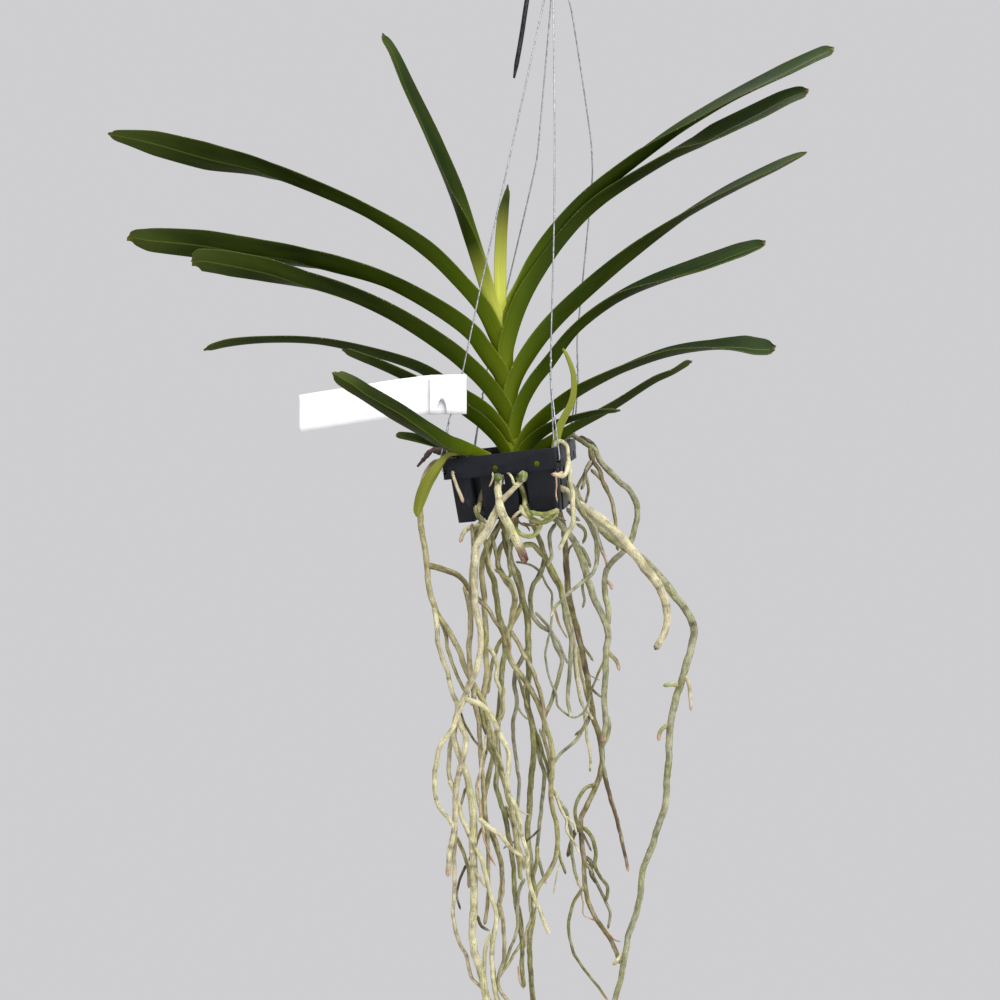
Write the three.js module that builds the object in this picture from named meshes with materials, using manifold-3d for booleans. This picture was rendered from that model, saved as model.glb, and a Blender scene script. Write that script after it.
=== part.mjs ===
// Papilionanda orchid in a small hanging plastic basket, in millimetres, +Z up.
// The plant is drawn about its crown, then shifted so that the origin is where the hook hangs.

import * as THREE from 'three';
import { mergeVertices } from 'three/addons/utils/BufferGeometryUtils.js';
import Module from 'manifold-3d';

const wasm = await Module();
wasm.setup();

// Driving sizes of the basket, before it is tilted
const rimSide = 73;            // outside of the square rim
const rimHeight = 12.5;        // rim band, top edge to its lower edge
const rimWall = 1.8;
const ledge = 1.5;             // step from the rim band in to the body
const bodySide = 66;           // outside of the body just under the rim
const footSide = 63.4;         // outside of the body at the floor
const basketHeight = 40;
const bodyWall = 1.8;
const slotMiddle = -3.45;      // middle of each side's pair of slots
const slotInner = 10.9;        // slots start this far from there
const slotWidth = 6.6;
const slotFloorReach = 12;     // how far the slots run in under the floor
const floorOpening = 24;       // square opening in the middle of the floor
const rimHoleOffsets = [-29.5, -3.7, 22];
const rimHoleHeight = -8.7;    // the round holes' centres, from the rim's top
const rimHoleRadius = 1.8;
const drillLength = 12;
const rimCorner = 3;           // rounding of the basket's corners
const basketYaw = -11;         // degrees, turned to show its right side
const basketRoll = -5.8;       // its left side hangs lower
const basketPitch = 6.4;       // its front hangs lower
const basketRight = 6;         // middle of the rim's top, from the crown
const basketTop = 0.8;
const wireHoleHeight = -8;     // the hanging wires' holes, from the rim's top
const windowWidth = 6;         // square window high in each side's middle slat
const windowHeight = 5.8;
const windowMiddle = -2.5;

// Driving sizes of the suspension
const hookRod = 3;             // diameter of the hook's steel rod
const hookBend = 6.25;         // radius of the hook's bend, to the rod's centre
const eyeRadius = 6;           // radius of the closed eye, to the rod's centre
const wireRod = 1;             // diameter of the hanging wires
const wireLoop = 2.95;         // radius of the loop that each wire makes in the eye
const wirePitch = 1.55;        // the four loops sit side by side in the eye
const wireNeck = 3;            // straight piece between a loop and the hanging run
const twistStart = 0.45;       // how far above its knot a wire starts to wind back on itself
const twistSwell = 1.7;        // and how much thicker it is from there
const hangHeight = 351.6;      // hook's bearing point above the crown
const hangRight = 35;          // and to the right of it

// Driving sizes of the label
const labelThick = 0.6;
const labelGap = 1.3;          // from the wire's centre to each half of the folded label

// Driving sizes of the plant
const bladeThick = 0.9;        // leaf blade at its margin
const keelThick = 1.2;         // leaf blade along its keel
const bladeBend = 6;           // degrees by which each half of a blade curves in from keel to middle
const sheathBend = 28;         // and a sheath, which clasps the stem
const seam = 0.35;             // clear gap between touching pieces
const stationStep = 19;        // spacing of sections along a leaf
const tipLength = 7;           // the two-lobed end of a leaf, less on a short one
const tipShare = 0.07;
const tipLobes = [-2, 0.6, -2.4, -0.2, -2.6]; // how far each point of the end face reaches, in mm
const rootSides = 5;
const rootSwell = 1.3;         // how much thicker roots are in the open than inside the basket
const rootSwellPoints = 3;     // route points over which they get so

// The picture that routes are read from: one pixel is 0.625 mm in the plane of the crown
const pixel = 0.625;
const pictureCentre = 500;
const crownRow = 450;
const viewDistance = 1000;

// A point seen at picture column and row, at a depth in mm behind the crown
function seen([column, row, depth = 0]) {
  const spread = pixel * (1 + depth / viewDistance);
  const eyeHeight = (crownRow - pictureCentre) * pixel;
  return new THREE.Vector3(
    (column - pictureCentre) * spread,
    depth,
    eyeHeight - (row - pictureCentre) * spread,
  );
}

const degrees = THREE.MathUtils.degToRad;
const mix = THREE.MathUtils.lerp;
const sight = new THREE.Vector3(0, 1, 0);

// Closed solids from geometries and back

function solidOf(geometry) {
  const bare = geometry.clone();
  bare.deleteAttribute('normal');
  bare.deleteAttribute('uv');
  const merged = mergeVertices(bare, 1e-4);
  return new wasm.Manifold(new wasm.Mesh({
    numProp: 3,
    vertProperties: Float32Array.from(merged.attributes.position.array),
    triVerts: Uint32Array.from(merged.index.array),
  }));
}

// Edges shorter than this are left out of the finished pieces
const shortestEdge = 0.01;

function geometryOf(solid) {
  const mesh = solid.asOriginal().simplify(shortestEdge).getMesh();
  const geometry = new THREE.BufferGeometry();
  geometry.setAttribute('position', new THREE.BufferAttribute(mesh.vertProperties, 3));
  geometry.setIndex(new THREE.BufferAttribute(mesh.triVerts, 1));
  return geometry;
}

// The outer skin alone: hollows that joining has sealed are filled, and loose scraps dropped
function outerSkin(solid) {
  const mesh = solid.getMesh();
  const owner = Array.from({ length: mesh.numVert }, (_, i) => i);
  const find = (i) => {
    let root = i;
    while (owner[root] !== root) root = owner[root];
    owner[i] = root;
    return root;
  };
  const corners = mesh.triVerts;
  for (let i = 0; i < corners.length; i += 3) {
    owner[find(corners[i + 1])] = find(corners[i]);
    owner[find(corners[i + 2])] = find(corners[i]);
  }
  const shells = new Map();
  for (let i = 0; i < corners.length; i += 3) {
    const root = find(corners[i]);
    if (!shells.has(root)) shells.set(root, []);
    shells.get(root).push(corners[i], corners[i + 1], corners[i + 2]);
  }
  const largest = [...shells.values()].reduce((best, shell) => (shell.length > best.length ? shell : best));
  const geometry = new THREE.BufferGeometry();
  geometry.setAttribute('position', new THREE.BufferAttribute(mesh.vertProperties, 3));
  geometry.setIndex(largest);
  return solidOf(geometry.toNonIndexed());
}

function joined(solids) {
  return outerSkin(solids.reduce((whole, next) => whole.add(next)));
}

// Six times the signed volume inside triangles, negative when they face inwards
function signedVolume(points, index) {
  let sum = 0;
  for (let i = 0; i < index.length; i += 3) {
    const [a, b, c] = [points[index[i]], points[index[i + 1]], points[index[i + 2]]];
    sum += a.dot(b.clone().cross(c));
  }
  return sum;
}

// A solid through rings of points that all have the same count, closed by a cap at each end.
// capTriangles lists a cap's triangles by their places in the ring.
function throughRings(rings, capTriangles) {
  const count = rings[0].length;
  const points = rings.flat();
  const index = [];
  for (let i = 0; i < rings.length - 1; i += 1) {
    for (let j = 0; j < count; j += 1) {
      const a = i * count + j;
      const b = i * count + (j + 1) % count;
      index.push(a, b, b + count, a, b + count, a + count);
    }
  }
  const last = (rings.length - 1) * count;
  for (const [a, b, c] of capTriangles) {
    index.push(a, c, b);
    index.push(last + a, last + b, last + c);
  }
  if (signedVolume(points, index) < 0) index.reverse();
  const geometry = new THREE.BufferGeometry().setFromPoints(points);
  geometry.setIndex(index);
  return solidOf(geometry);
}

function fanCap(count) {
  const triangles = [];
  for (let i = 1; i < count - 1; i += 1) triangles.push([0, i, i + 1]);
  return triangles;
}

// A round rod through points, mitred at each one, with its own radius at each one
function rod(points, radii, sides) {
  const rings = [];
  let across = null;
  for (let i = 0; i < points.length; i += 1) {
    const before = points[Math.max(i - 1, 0)];
    const after = points[Math.min(i + 1, points.length - 1)];
    const along = after.clone().sub(before).normalize();
    if (!across) {
      across = Math.abs(along.y) < 0.9 ? sight.clone() : new THREE.Vector3(1, 0, 0);
    }
    across.addScaledVector(along, -across.dot(along)).normalize();
    const third = along.clone().cross(across);
    const radius = Array.isArray(radii) ? radii[i] : radii;
    const ring = [];
    for (let j = 0; j < sides; j += 1) {
      const turn = 2 * Math.PI * j / sides;
      ring.push(points[i].clone()
        .addScaledVector(across, radius * Math.cos(turn))
        .addScaledVector(third, radius * Math.sin(turn)));
    }
    rings.push(ring);
  }
  return throughRings(rings, fanCap(sides));
}

// Basket

const basketFrame = new THREE.Group();
basketFrame.rotation.order = 'ZYX';
basketFrame.rotation.set(degrees(basketPitch), degrees(basketRoll), degrees(basketYaw));
basketFrame.position.set(basketRight, 0, basketTop);
basketFrame.updateMatrixWorld(true);

// A point of the basket's own frame: origin at the middle of the rim's top
function inBasket([x, y, z]) {
  return new THREE.Vector3(x, y, z).applyMatrix4(basketFrame.matrix);
}

function roundedSquare(side, z, corner = rimCorner, steps = 3) {
  const half = side / 2 - corner;
  const ring = [];
  for (let quarter = 0; quarter < 4; quarter += 1) {
    const middle = new THREE.Vector2(half, half).rotateAround(new THREE.Vector2(), quarter * Math.PI / 2);
    for (let i = 0; i <= steps; i += 1) {
      const turn = (quarter + i / steps) * Math.PI / 2;
      ring.push(new THREE.Vector3(middle.x + corner * Math.cos(turn), middle.y + corner * Math.sin(turn), z));
    }
  }
  return ring;
}

function squareTub(topSide, topZ, lowSide, lowZ) {
  const rings = [roundedSquare(lowSide, lowZ), roundedSquare(topSide, topZ)];
  return throughRings(rings, fanCap(rings[0].length));
}

function block(low, high) {
  const size = high.map((value, i) => value - low[i]);
  const box = new THREE.BoxGeometry(...size);
  box.translate(...low.map((value, i) => value + size[i] / 2));
  return solidOf(box);
}

// A round hole through the rim, centred at x, y and height z, along a horizontal direction
function rimHole(x, y, z, direction) {
  const peg = new THREE.CylinderGeometry(rimHoleRadius, rimHoleRadius, drillLength, 8);
  peg.rotateZ(Math.PI / 2);
  peg.rotateZ(direction);
  peg.translate(x, y, z);
  return solidOf(peg);
}

// Each hanging wire's hole: its place in the basket's frame, which way is out of the rim, and
// how thick the rim is that way
const rimReach = rimSide / 2 - rimWall / 2;
const diagonal = (side) => (side / 2 - rimCorner) * Math.SQRT2 + rimCorner;
const cornerOut = diagonal(rimSide);
const cornerIn = diagonal(rimSide - 2 * rimWall);
function cornerHole(right, back) {
  const out = [right * Math.SQRT1_2, back * Math.SQRT1_2];
  return { place: out.map((value) => value * (cornerOut + cornerIn) / 2), out, wall: cornerOut - cornerIn };
}
const wireHoles = {
  front_left: cornerHole(-1, -1),
  front_right: cornerHole(1, -1),
  back_right: cornerHole(1, 1),
  back_left: { place: [-29.5, rimReach], out: [0, 1], wall: rimWall },
};

function basketSolid() {
  const lip = rimSide - 2 * rimWall;
  const outside = squareTub(rimSide, 0, rimSide, -rimHeight)
    .add(squareTub(bodySide, -rimHeight + 1, footSide, -basketHeight));
  const well = squareTub(
    bodySide - 2 * bodyWall,
    -rimHeight + 3,
    footSide - 2 * bodyWall,
    -basketHeight + bodyWall,
  );
  const inside = squareTub(lip, 1, lip, -rimHeight + ledge).add(well);
  let basket = outside.subtract(inside);
  const beyond = rimSide / 2 + 2;
  const slotTop = -rimHeight - 0.8;
  const reach = footSide / 2 - slotFloorReach;
  for (let side = 0; side < 4; side += 1) {
    const cuts = [slotMiddle - slotInner - slotWidth, slotMiddle + slotInner].map((left) => (
      block([left, -beyond, -basketHeight - 1], [left + slotWidth, -reach, slotTop])
    ));
    cuts.push(block(
      [windowMiddle - windowWidth / 2, -beyond, slotTop - windowHeight],
      [windowMiddle + windowWidth / 2, -bodySide / 2 + 5, slotTop],
    ));
    for (const offset of rimHoleOffsets) {
      cuts.push(rimHole(offset, -rimReach, rimHoleHeight, Math.PI / 2));
    }
    for (const cut of cuts) basket = basket.subtract(cut.rotate([0, 0, side * 90]));
  }
  for (const { place, out } of Object.values(wireHoles)) {
    basket = basket.subtract(rimHole(...place, wireHoleHeight, Math.atan2(out[1], out[0])));
  }
  const half = floorOpening / 2;
  return basket.subtract(block([-half, -half, -basketHeight - 1], [half, half, -basketHeight + 3]));
}

// Hook: a short tail, the bend that hangs on a rail, a shank and a closed eye

const bendMiddle = new THREE.Vector3(hangRight, 0, hangHeight - hookBend + hookRod / 2);
const eyeMiddle = seen([552, -44]);

function hookSolid() {
  const tail = [[514, 78], [521, 39], [527, 0], [535, -45], [542, -82]].map(seen);
  const bend = [];
  for (let i = 0; i <= 8; i += 1) {
    const turn = Math.PI * (1 - i / 8);
    bend.push(bendMiddle.clone().add(new THREE.Vector3(
      hookBend * Math.cos(turn),
      0,
      hookBend * Math.sin(turn),
    )));
  }
  const shank = [[565, -82], [560, -66]].map(seen);
  const join = eyeMiddle.clone().add(new THREE.Vector3(0.6, 0, eyeRadius));
  const stem = rod([...tail, ...bend, ...shank, join], hookRod / 2, 8);
  const eye = new THREE.TorusGeometry(eyeRadius, hookRod / 2, 8, 16);
  eye.rotateX(Math.PI / 2);
  eye.translate(...eyeMiddle.toArray());
  return stem.add(solidOf(eye));
}

// Hanging wires: each loops through the eye, runs down by hand-read points, and ends in a
// hairpin through its hole in the rim, twisted back on itself

const wireRoutes = {
  front_left: [[550, -22], [544.3, 0], [513.5, 140], [480, 290], [462, 375], [451, 414]],
  back_left: [[551.2, -22], [551.2, 0], [538.9, 140], [537, 160], [508.9, 280.5], [487.3, 368]],
  front_right: [[553, -22], [553.4, 0], [554.8, 140], [554.2, 217], [553, 275], [551.2, 331]],
  back_right: [[556, -22], [569.7, 0], [591.2, 140], [592.7, 172], [589, 217], [577, 339]],
};
const twistRows = { front_left: 424, back_left: 400, front_right: 380, back_right: 382 };
const twistColumns = { front_left: 448, back_left: 482, front_right: 550.6, back_right: 578 };
const loopOrder = ['front_left', 'back_left', 'front_right', 'back_right'];
const eyeRow = -36;

function hairpinPoints(name) {
  const { place, out, wall } = wireHoles[name];
  const half = wall / 2 + wireRod / 2 + seam;
  const at = (outward, z) => inBasket([place[0] + out[0] * outward, place[1] + out[1] * outward, z]);
  return [at(-half, 1), at(-half, wireHoleHeight), at(half, wireHoleHeight), at(half, 1)];
}

function wireRun(name) {
  const [lowIn] = hairpinPoints(name);
  const depthAt = (row) => lowIn.y * (row - eyeRow) / (crownRow - eyeRow);
  const spots = wireRoutes[name].map(([column, row]) => seen([column, row, depthAt(row)]));
  const knot = seen([twistColumns[name], twistRows[name], depthAt(twistRows[name])]);
  return { spots, knot };
}

function wireSolid(name) {
  const { spots, knot } = wireRun(name);
  const radius = wireRod / 2;
  const aside = (loopOrder.indexOf(name) - 1.5) * wirePitch;
  const loopMiddle = eyeMiddle.clone().add(new THREE.Vector3(
    aside,
    0,
    -Math.sqrt(eyeRadius ** 2 - aside ** 2),
  ));
  const loop = [];
  const turns = 9;
  for (let i = 0; i <= turns; i += 1) {
    const turn = -Math.PI / 2 + 2 * Math.PI * i / turns;
    loop.push(loopMiddle.clone().add(new THREE.Vector3(
      0,
      wireLoop * Math.cos(turn),
      wireLoop * Math.sin(turn),
    )));
  }
  const neck = loopMiddle.clone().add(new THREE.Vector3(0, 0, -wireLoop - wireNeck));
  const line = rod([loop[0], neck, ...spots, knot], radius, 6);
  const ring = rod(loop, radius, 6);
  const [inTop, inLow, outLow, outTop] = hairpinPoints(name);
  const hairpin = rod([knot, inTop, inLow, outLow, outTop, knot], radius, 6);
  const twist = rod([knot.clone().lerp(spots.at(-1), twistStart), knot], radius * twistSwell, 6);
  return joined([line, ring, hairpin, twist]);
}

// Label: a strip folded round the front left wire, its long end pointing left.
// Each row: picture column, rows of the top and bottom edges, and which side of the wire it is.

const labelRows = [
  [430, 375, 414, -1],
  [448, 374.7, 414, -1],
  [463, 374.5, 414, -1],
  [465.7, 374.5, 414, -0.6],
  [466.4, 374.5, 414, 0],
  [465.7, 374.5, 414, 0.6],
  [463, 374.5, 414, 1],
  [448, 374.7, 414.2, 1],
  [425, 375.6, 414.8, 1],
  [390, 380.3, 418.6, 1],
  [350, 387, 424.3, 1],
  [299, 395, 432, 1],
];

function labelSolid() {
  const [lowIn] = hairpinPoints('front_left');
  const edge = (column, row, side) => {
    const wireDepth = lowIn.y * (row - eyeRow) / (crownRow - eyeRow);
    return seen([column, row, wireDepth + side * labelGap]);
  };
  const topOf = ([column, top, , side]) => edge(column, top, side);
  const rings = labelRows.map((row, i) => {
    const before = labelRows[Math.max(i - 1, 0)];
    const after = labelRows[Math.min(i + 1, labelRows.length - 1)];
    const [column, , bottom, side] = row;
    const high = topOf(row);
    const low = edge(column, bottom, side);
    const along = topOf(after).sub(topOf(before)).normalize();
    const face = along.cross(high.clone().sub(low)).normalize().multiplyScalar(labelThick / 2);
    return [high.clone().add(face), high.clone().sub(face), low.clone().sub(face), low.clone().add(face)];
  });
  return throughRings(rings, fanCap(4));
}

// Leaves: strap blades folded along a keel, open and twisted further out, with a two-lobed tip.
// Each row from the stem outwards: picture column and row of the blade's middle, depth, the way
// its channel faces (0 is up, 90 towards the viewer, -90 away), half its opening angle, and the
// width of one half in mm. cut is where the blade leaves its sheath, in mm along the route.

const leaves = {
  leaf_left_1: {
    side: -1,
    cut: 72,
    rows: [
      [508, 388, 0, 0, 26, 3],
      [504.8, 367, 0, 0, 26, 5.5],
      [500.4, 350.2, 0, 0, 26, 8.7],
      [494.8, 332.5, 0, 0, 26, 11],
      [486.6, 314.4, 0, 0, 24, 10.8],
      [480.4, 304.4, 0, 0, 22, 10.4],
      [463.8, 285.2, 0.5, 0, 19, 9.8],
      [428, 250, 3, -2, 23, 10.5],
      [369, 213, 7, -5, 46, 9.2],
      [309.5, 186, 10, -8, 53, 10.3],
      [260, 167.5, 12, -35, 64, 8.8],
      [207, 156.5, 13, -49, 74, 10.6],
      [155, 143.5, 13, -65, 80, 8.2],
      [130, 138, 12.5, -69, 80, 5.2],
      [114, 135, 12, -70, 80, 3.2],
      [106.5, 132.5, 12, -70, 80, 1.4],
    ],
  },
  leaf_left_2: {
    side: -1,
    cut: 71,
    rows: [
      [511, 420, 0, 0, 28, 3],
      [508.5, 403, 0, 0, 28, 5.5],
      [503.5, 385.2, -0.7, 0, 28, 8.7],
      [499.8, 371.5, -0.7, 0, 28, 12],
      [491.5, 359.5, -0.7, 0, 26, 11.8],
      [482.3, 346.5, -0.7, 0, 24, 11.4],
      [473.6, 334.5, -1, 0, 21, 11],
      [450, 315.6, -1, 0, 22, 10.8],
      [390.5, 282.5, 0, -5, 36, 9.9],
      [338.5, 266, 2, -21, 50, 11.6],
      [295, 256, 3, -42, 58, 9.9],
      [251, 251.5, 4, -54, 66, 10.8],
      [207, 245, 5, -62, 72, 10.2],
      [163, 241, 5, -68, 78, 8.4],
      [149.5, 240, 4.5, -69, 79, 7.7],
      [133.5, 237.5, 4, -70, 80, 4.7],
      [125.5, 239.5, 4, -70, 80, 2.1],
    ],
  },
  leaf_left_3: {
    side: -1,
    cut: 72,
    rows: [
      [514, 458, 0, 0, 30, 3],
      [512, 442, 0, 0, 30, 5.5],
      [509.2, 424.7, -1.2, 0, 30, 8.7],
      [506.5, 412.3, -1.2, 0, 30, 11.4],
      [499, 399.8, -1.2, 0, 29, 11.4],
      [490, 387.6, -1.4, 0, 27, 11.4],
      [480, 376.3, -2, 0, 24, 11.2],
      [469.9, 366.6, -3, 0, 20, 11.1],
      [449.9, 349.6, -4, 0, 17, 10.9],
      [398.5, 316.5, -6, -2, 34, 10.8],
      [353.5, 295.5, -8, -12, 52, 11],
      [310, 281, -10, -29, 58, 10],
      [270, 271, -11, -50, 66, 9.6],
      [230.5, 264, -12, -60, 72, 9],
      [214, 261.5, -12, -62, 74, 8.2],
      [198.5, 260.5, -12, -65, 77, 7.4],
      [190, 264.5, -12, -66, 78, 3.3],
    ],
  },
  leaf_left_4: {
    side: -1,
    cut: 53,
    rows: [
      [516, 470, 0, 0, 36, 3],
      [514, 456, -1, 0, 40, 5.5],
      [508.4, 442.3, -1.8, 0, 42, 7.8],
      [502.5, 430, -1.6, 0, 40, 9.2],
      [495.5, 420.5, -1, 0, 36, 9.2],
      [488.7, 412.9, 1, 0, 30, 9],
      [478, 404.3, 3, 0, 24, 8.6],
      [462, 394.5, 7, 0, 28, 8.6],
      [420.5, 368.5, 13, 0, 50, 9.5],
      [369, 352, 17, 0, 58, 9],
      [320, 342, 20, 0, 62, 7.5],
      [270, 340, 21, 2, 64, 8],
      [230, 343.5, 21, 0, 57, 7.4],
      [210.5, 348.5, 20.5, 0, 62, 6.1],
      [203, 351, 20, 0, 62, 2.7],
    ],
  },
  leaf_left_5: {
    side: -1,
    cut: 44,
    rows: [
      [513, 472, 0, 0, 36, 5],
      [508.5, 458, -1.5, 0, 40, 7.5],
      [503.2, 447.3, -2.6, 0, 42, 9],
      [497.8, 439, -2.8, 0, 40, 9.2],
      [489.8, 430, -3.5, 0, 36, 9.2],
      [480.5, 421, -5, 0, 30, 9],
      [470, 413.3, -6.5, 0, 26, 8.4],
      [455, 403, -8, 0, 30, 8],
      [413, 380, -11, -5, 48, 8],
      [378, 364, -12, -10, 56, 7.5],
      [363.5, 358.5, -12.5, -10, 57, 6.7],
      [348.5, 352.5, -13, -10, 58, 5.9],
      [341, 349.5, -13, -10, 58, 2.7],
    ],
  },
  leaf_low_front: {
    side: -1,
    cut: 16,
    rows: [
      [488, 457, -14, -20, 24, 5.5],
      [472, 450, -25, -40, 26, 6.8],
      [458, 445, -35, -52, 28, 9],
      [446, 441, -41, -64, 32, 10.2],
      [427, 430, -50, -78, 33, 9.6],
      [398.5, 412.5, -58, -88, 35, 10.2],
      [366, 392.5, -64, -79, 38, 8.4],
      [352, 384, -66, -90, 41, 7.9],
      [338, 376, -68, -90, 44, 5.9],
      [332, 371, -69, -90, 46, 2.6],
    ],
  },
  leaf_low_small: {
    side: -1,
    cut: 10,
    rows: [
      [466, 456, -15, -20, 30, 4.2],
      [448, 448, -13, -30, 40, 4.4],
      [430, 442, -14, -45, 50, 4.5],
      [412, 437, -16, -55, 55, 4],
      [395, 434.5, -18, -60, 58, 2.6],
    ],
  },
  leaf_low_drooping: {
    side: -1,
    cut: 16,
    rows: [
      [466, 459, -17, 0, 50, 2.5],
      [457, 455, -27, 0, 60, 2.8],
      [448, 455.5, -34, -10, 62, 3.2],
      [441.5, 462, -38, -40, 60, 3.8],
      [434.5, 471.5, -40, -60, 58, 4.4],
      [427, 483, -40.5, -75, 58, 4.6],
      [421.5, 496, -40, -90, 60, 4.4],
      [418, 508, -39, -90, 62, 3.4],
      [416.5, 518, -38, -90, 62, 2],
    ],
  },
  leaf_crown_left: {
    side: -1,
    cut: 60,
    rows: [
      [504, 354, 0, 0, 22, 3],
      [501, 336.6, 0, 0, 22, 6],
      [496.2, 317, 0, 0, 22, 9.6],
      [491.6, 304, 0, 0, 22, 9.8],
      [484.8, 280, 0, 2, 20, 9.8],
      [469.5, 231, -3, 20, 26, 9.6],
      [455.9, 189.5, -4, 40, 44, 9.7],
      [433.5, 137, -7, 42, 50, 8.9],
      [409, 86.5, -10, 42, 56, 7.5],
      [392.5, 50.5, -12, 42, 66, 4.8],
      [385.5, 39.5, -12, 38, 68, 4.8],
      [381, 33, -12, 40, 70, 2.1],
    ],
  },
  leaf_crown_young: {
    side: 1,
    cut: 58,
    rows: [
      [504, 350, 0, 0, 18, 3],
      [502, 322, 1, 0, 20, 6.4],
      [500.6, 290, 2, 0, 22, 8.2],
      [500.6, 255, 3, 0, 26, 8.4],
      [503.3, 215, 4, 0, 30, 7.8],
      [507.2, 194, 4, 0, 36, 4.2],
      [508.6, 184, 4, 0, 40, 1.8],
    ],
  },
  leaf_right_1: {
    side: 1,
    cut: 102,
    rows: [
      [506.5, 378, 0, 0, 24, 3],
      [508.2, 354.6, 0, 0, 24, 5.5],
      [510, 334, 0, 0, 24, 8.7],
      [510.5, 316, 0.5, 6, 24, 12],
      [514.5, 303, 0.8, 14, 22, 12],
      [522.5, 286.5, 0.8, 12, 20, 11],
      [536.2, 258, 0.8, 5, 20, 10],
      [553, 235, 0.8, 0, 20, 9.8],
      [578.3, 206.2, 1.5, 1, 28, 9.6],
      [597, 189.4, 2, 2, 34, 10.2],
      [639, 156.5, 1, 5, 50, 11],
      [684.5, 123.5, -1, 20, 66, 10.5],
      [730, 97, -2, 25, 70, 9.8],
      [785, 70, -3, 35, 70, 9.7],
      [813.5, 56.5, -3, 39, 72, 7.9],
      [828, 50.5, -3, 41, 73, 7.3],
      [836, 48.5, -3, 42, 74, 3.3],
    ],
  },
  leaf_right_2: {
    side: 1,
    cut: 108,
    rows: [
      [509.6, 406, 0, 0, 28, 3],
      [509, 386.6, 0, 0, 28, 5.5],
      [507.4, 367, -0.5, 0, 28, 8.7],
      [506, 350, -0.5, 0, 28, 11.5],
      [508.9, 336.4, -0.6, 0, 28, 11.5],
      [513.7, 320.5, -0.8, 0, 27, 11.3],
      [521.3, 301, -1, 0, 26, 11.2],
      [531, 283, 0, 0, 24, 10],
      [545, 261.5, 0.8, 0, 21, 8.8],
      [558, 243.5, 1, 0, 23, 8.3],
      [580, 218, 1.6, 1, 32, 8.8],
      [601.1, 199.2, 2.4, 3, 42, 9.6],
      [628, 181, 3.5, 5, 54, 10.5],
      [671, 155, 6, 8, 58, 10],
      [715.5, 131.5, 8, 43, 62, 10.3],
      [758.5, 111, 8, 45, 68, 9.8],
      [787, 97, 8, 52, 70, 7.4],
      [802.5, 92, 8, 55, 71, 5.9],
      [810.5, 90.5, 8, 56, 72, 2.6],
    ],
  },
  leaf_right_3: {
    side: 1,
    cut: 81,
    rows: [
      [514, 442, 0, 0, 30, 3],
      [513.5, 424.6, 0, 0, 30, 5.5],
      [511.5, 405, -1.2, 0, 30, 8.7],
      [511, 391.7, -1.2, 0, 30, 10.8],
      [513.8, 382, -1.2, 0, 30, 10.8],
      [518, 371.7, -1, 0, 29, 11],
      [526, 357.5, 0, 0, 26, 11.2],
      [540.3, 336.8, 3, 0, 20, 10.8],
      [559, 315.5, 6, 0, 18, 10.6],
      [596.5, 281, 9, 0, 22, 10.4],
      [635, 249.5, 11, 4, 36, 10],
      [685, 215, 13, 6, 66, 9],
      [730.5, 188, 15, 19, 64, 9],
      [774.5, 166, 17, 26, 64, 8],
      [787, 160, 17.5, 22, 65, 7.6],
      [800, 154.5, 18, 22, 66, 5.4],
      [808, 152.5, 18, 20, 66, 3],
    ],
  },
  leaf_right_4: {
    side: 1,
    cut: 70,
    rows: [
      [516, 468, 0, 0, 34, 3],
      [515.6, 452.6, -0.8, 0, 38, 5.8],
      [515.3, 437.6, -1.4, 0, 38, 8.4],
      [515.5, 424.5, -1.4, 0, 38, 10.4],
      [519.3, 410.7, -1.8, 0, 37, 10.3],
      [523.8, 399, -2.4, 0, 34, 9.8],
      [534.6, 380.6, -4, 0, 26, 8.8],
      [547, 365, -5.5, 0, 24, 8.8],
      [575.5, 329.5, -7, 0, 41, 7.7],
      [614, 299.5, -8, 4, 55, 9.5],
      [655, 279, -9, 24, 64, 10],
      [700.5, 264, -10, 35, 66, 10],
      [740.5, 250, -10, 38, 68, 8.9],
      [760, 243.5, -10, 28, 68, 8],
      [767.5, 241.5, -10, 28, 68, 3.6],
    ],
  },
  leaf_right_5: {
    side: 1,
    cut: 50,
    rows: [
      [517, 472, 0, 0, 36, 5],
      [518, 458, -1.6, 0, 40, 7.5],
      [520.2, 447, -2.4, 0, 42, 9],
      [524.2, 438.3, -2.8, 0, 41, 9.2],
      [531.3, 428.5, -3.6, 0, 38, 9.4],
      [545.2, 415.8, -5.5, 0, 32, 9.8],
      [560, 403.8, -7, 0, 34, 9.6],
      [575, 393, -8, 0, 44, 9.5],
      [619.5, 370.5, -9, 2, 58, 8.1],
      [669.5, 351.5, -10, 10, 62, 10.5],
      [712, 344.5, -11, 24, 66, 8.6],
      [745, 344.5, -12, 42, 68, 10.1],
      [753.5, 346, -12, 41, 69, 10.4],
      [769.5, 347.5, -12, 42, 70, 8.4],
      [777.5, 348, -12, 42, 70, 3.8],
    ],
  },
  leaf_right_6: {
    side: 1,
    cut: 32,
    rows: [
      [519, 458, 5, 0, 18, 6.5],
      [545, 444, 10, 0, 24, 7],
      [575, 427, 15, 0, 44, 7.5],
      [613.5, 406, 21, 0, 54, 8.4],
      [655, 380, 26, 0, 58, 7.5],
      [672.5, 372.5, 27.5, 0, 59, 5.9],
      [686.5, 364, 28.5, 0, 60, 7.4],
      [694, 361.5, 29, 0, 60, 3.3],
    ],
  },
  leaf_right_7: {
    side: 1,
    cut: 40,
    rows: [
      [514, 466, -3, 0, 30, 5],
      [524, 449.5, -4.5, 0, 36, 8.5],
      [533.5, 439.5, -6.5, 0, 34, 8.5],
      [545, 430.5, -10, 0, 34, 7.8],
      [558, 424, -14, 0, 38, 6.5],
      [572, 419, -19, 0, 52, 5.5],
      [600, 412.5, -22, 0, 56, 5],
      [621, 411, -24, 0, 58, 3],
    ],
  },
  leaf_low_right: {
    side: 1,
    cut: 12,
    rows: [
      [555, 449, -23.5, 0, 30, 4.8],
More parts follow.
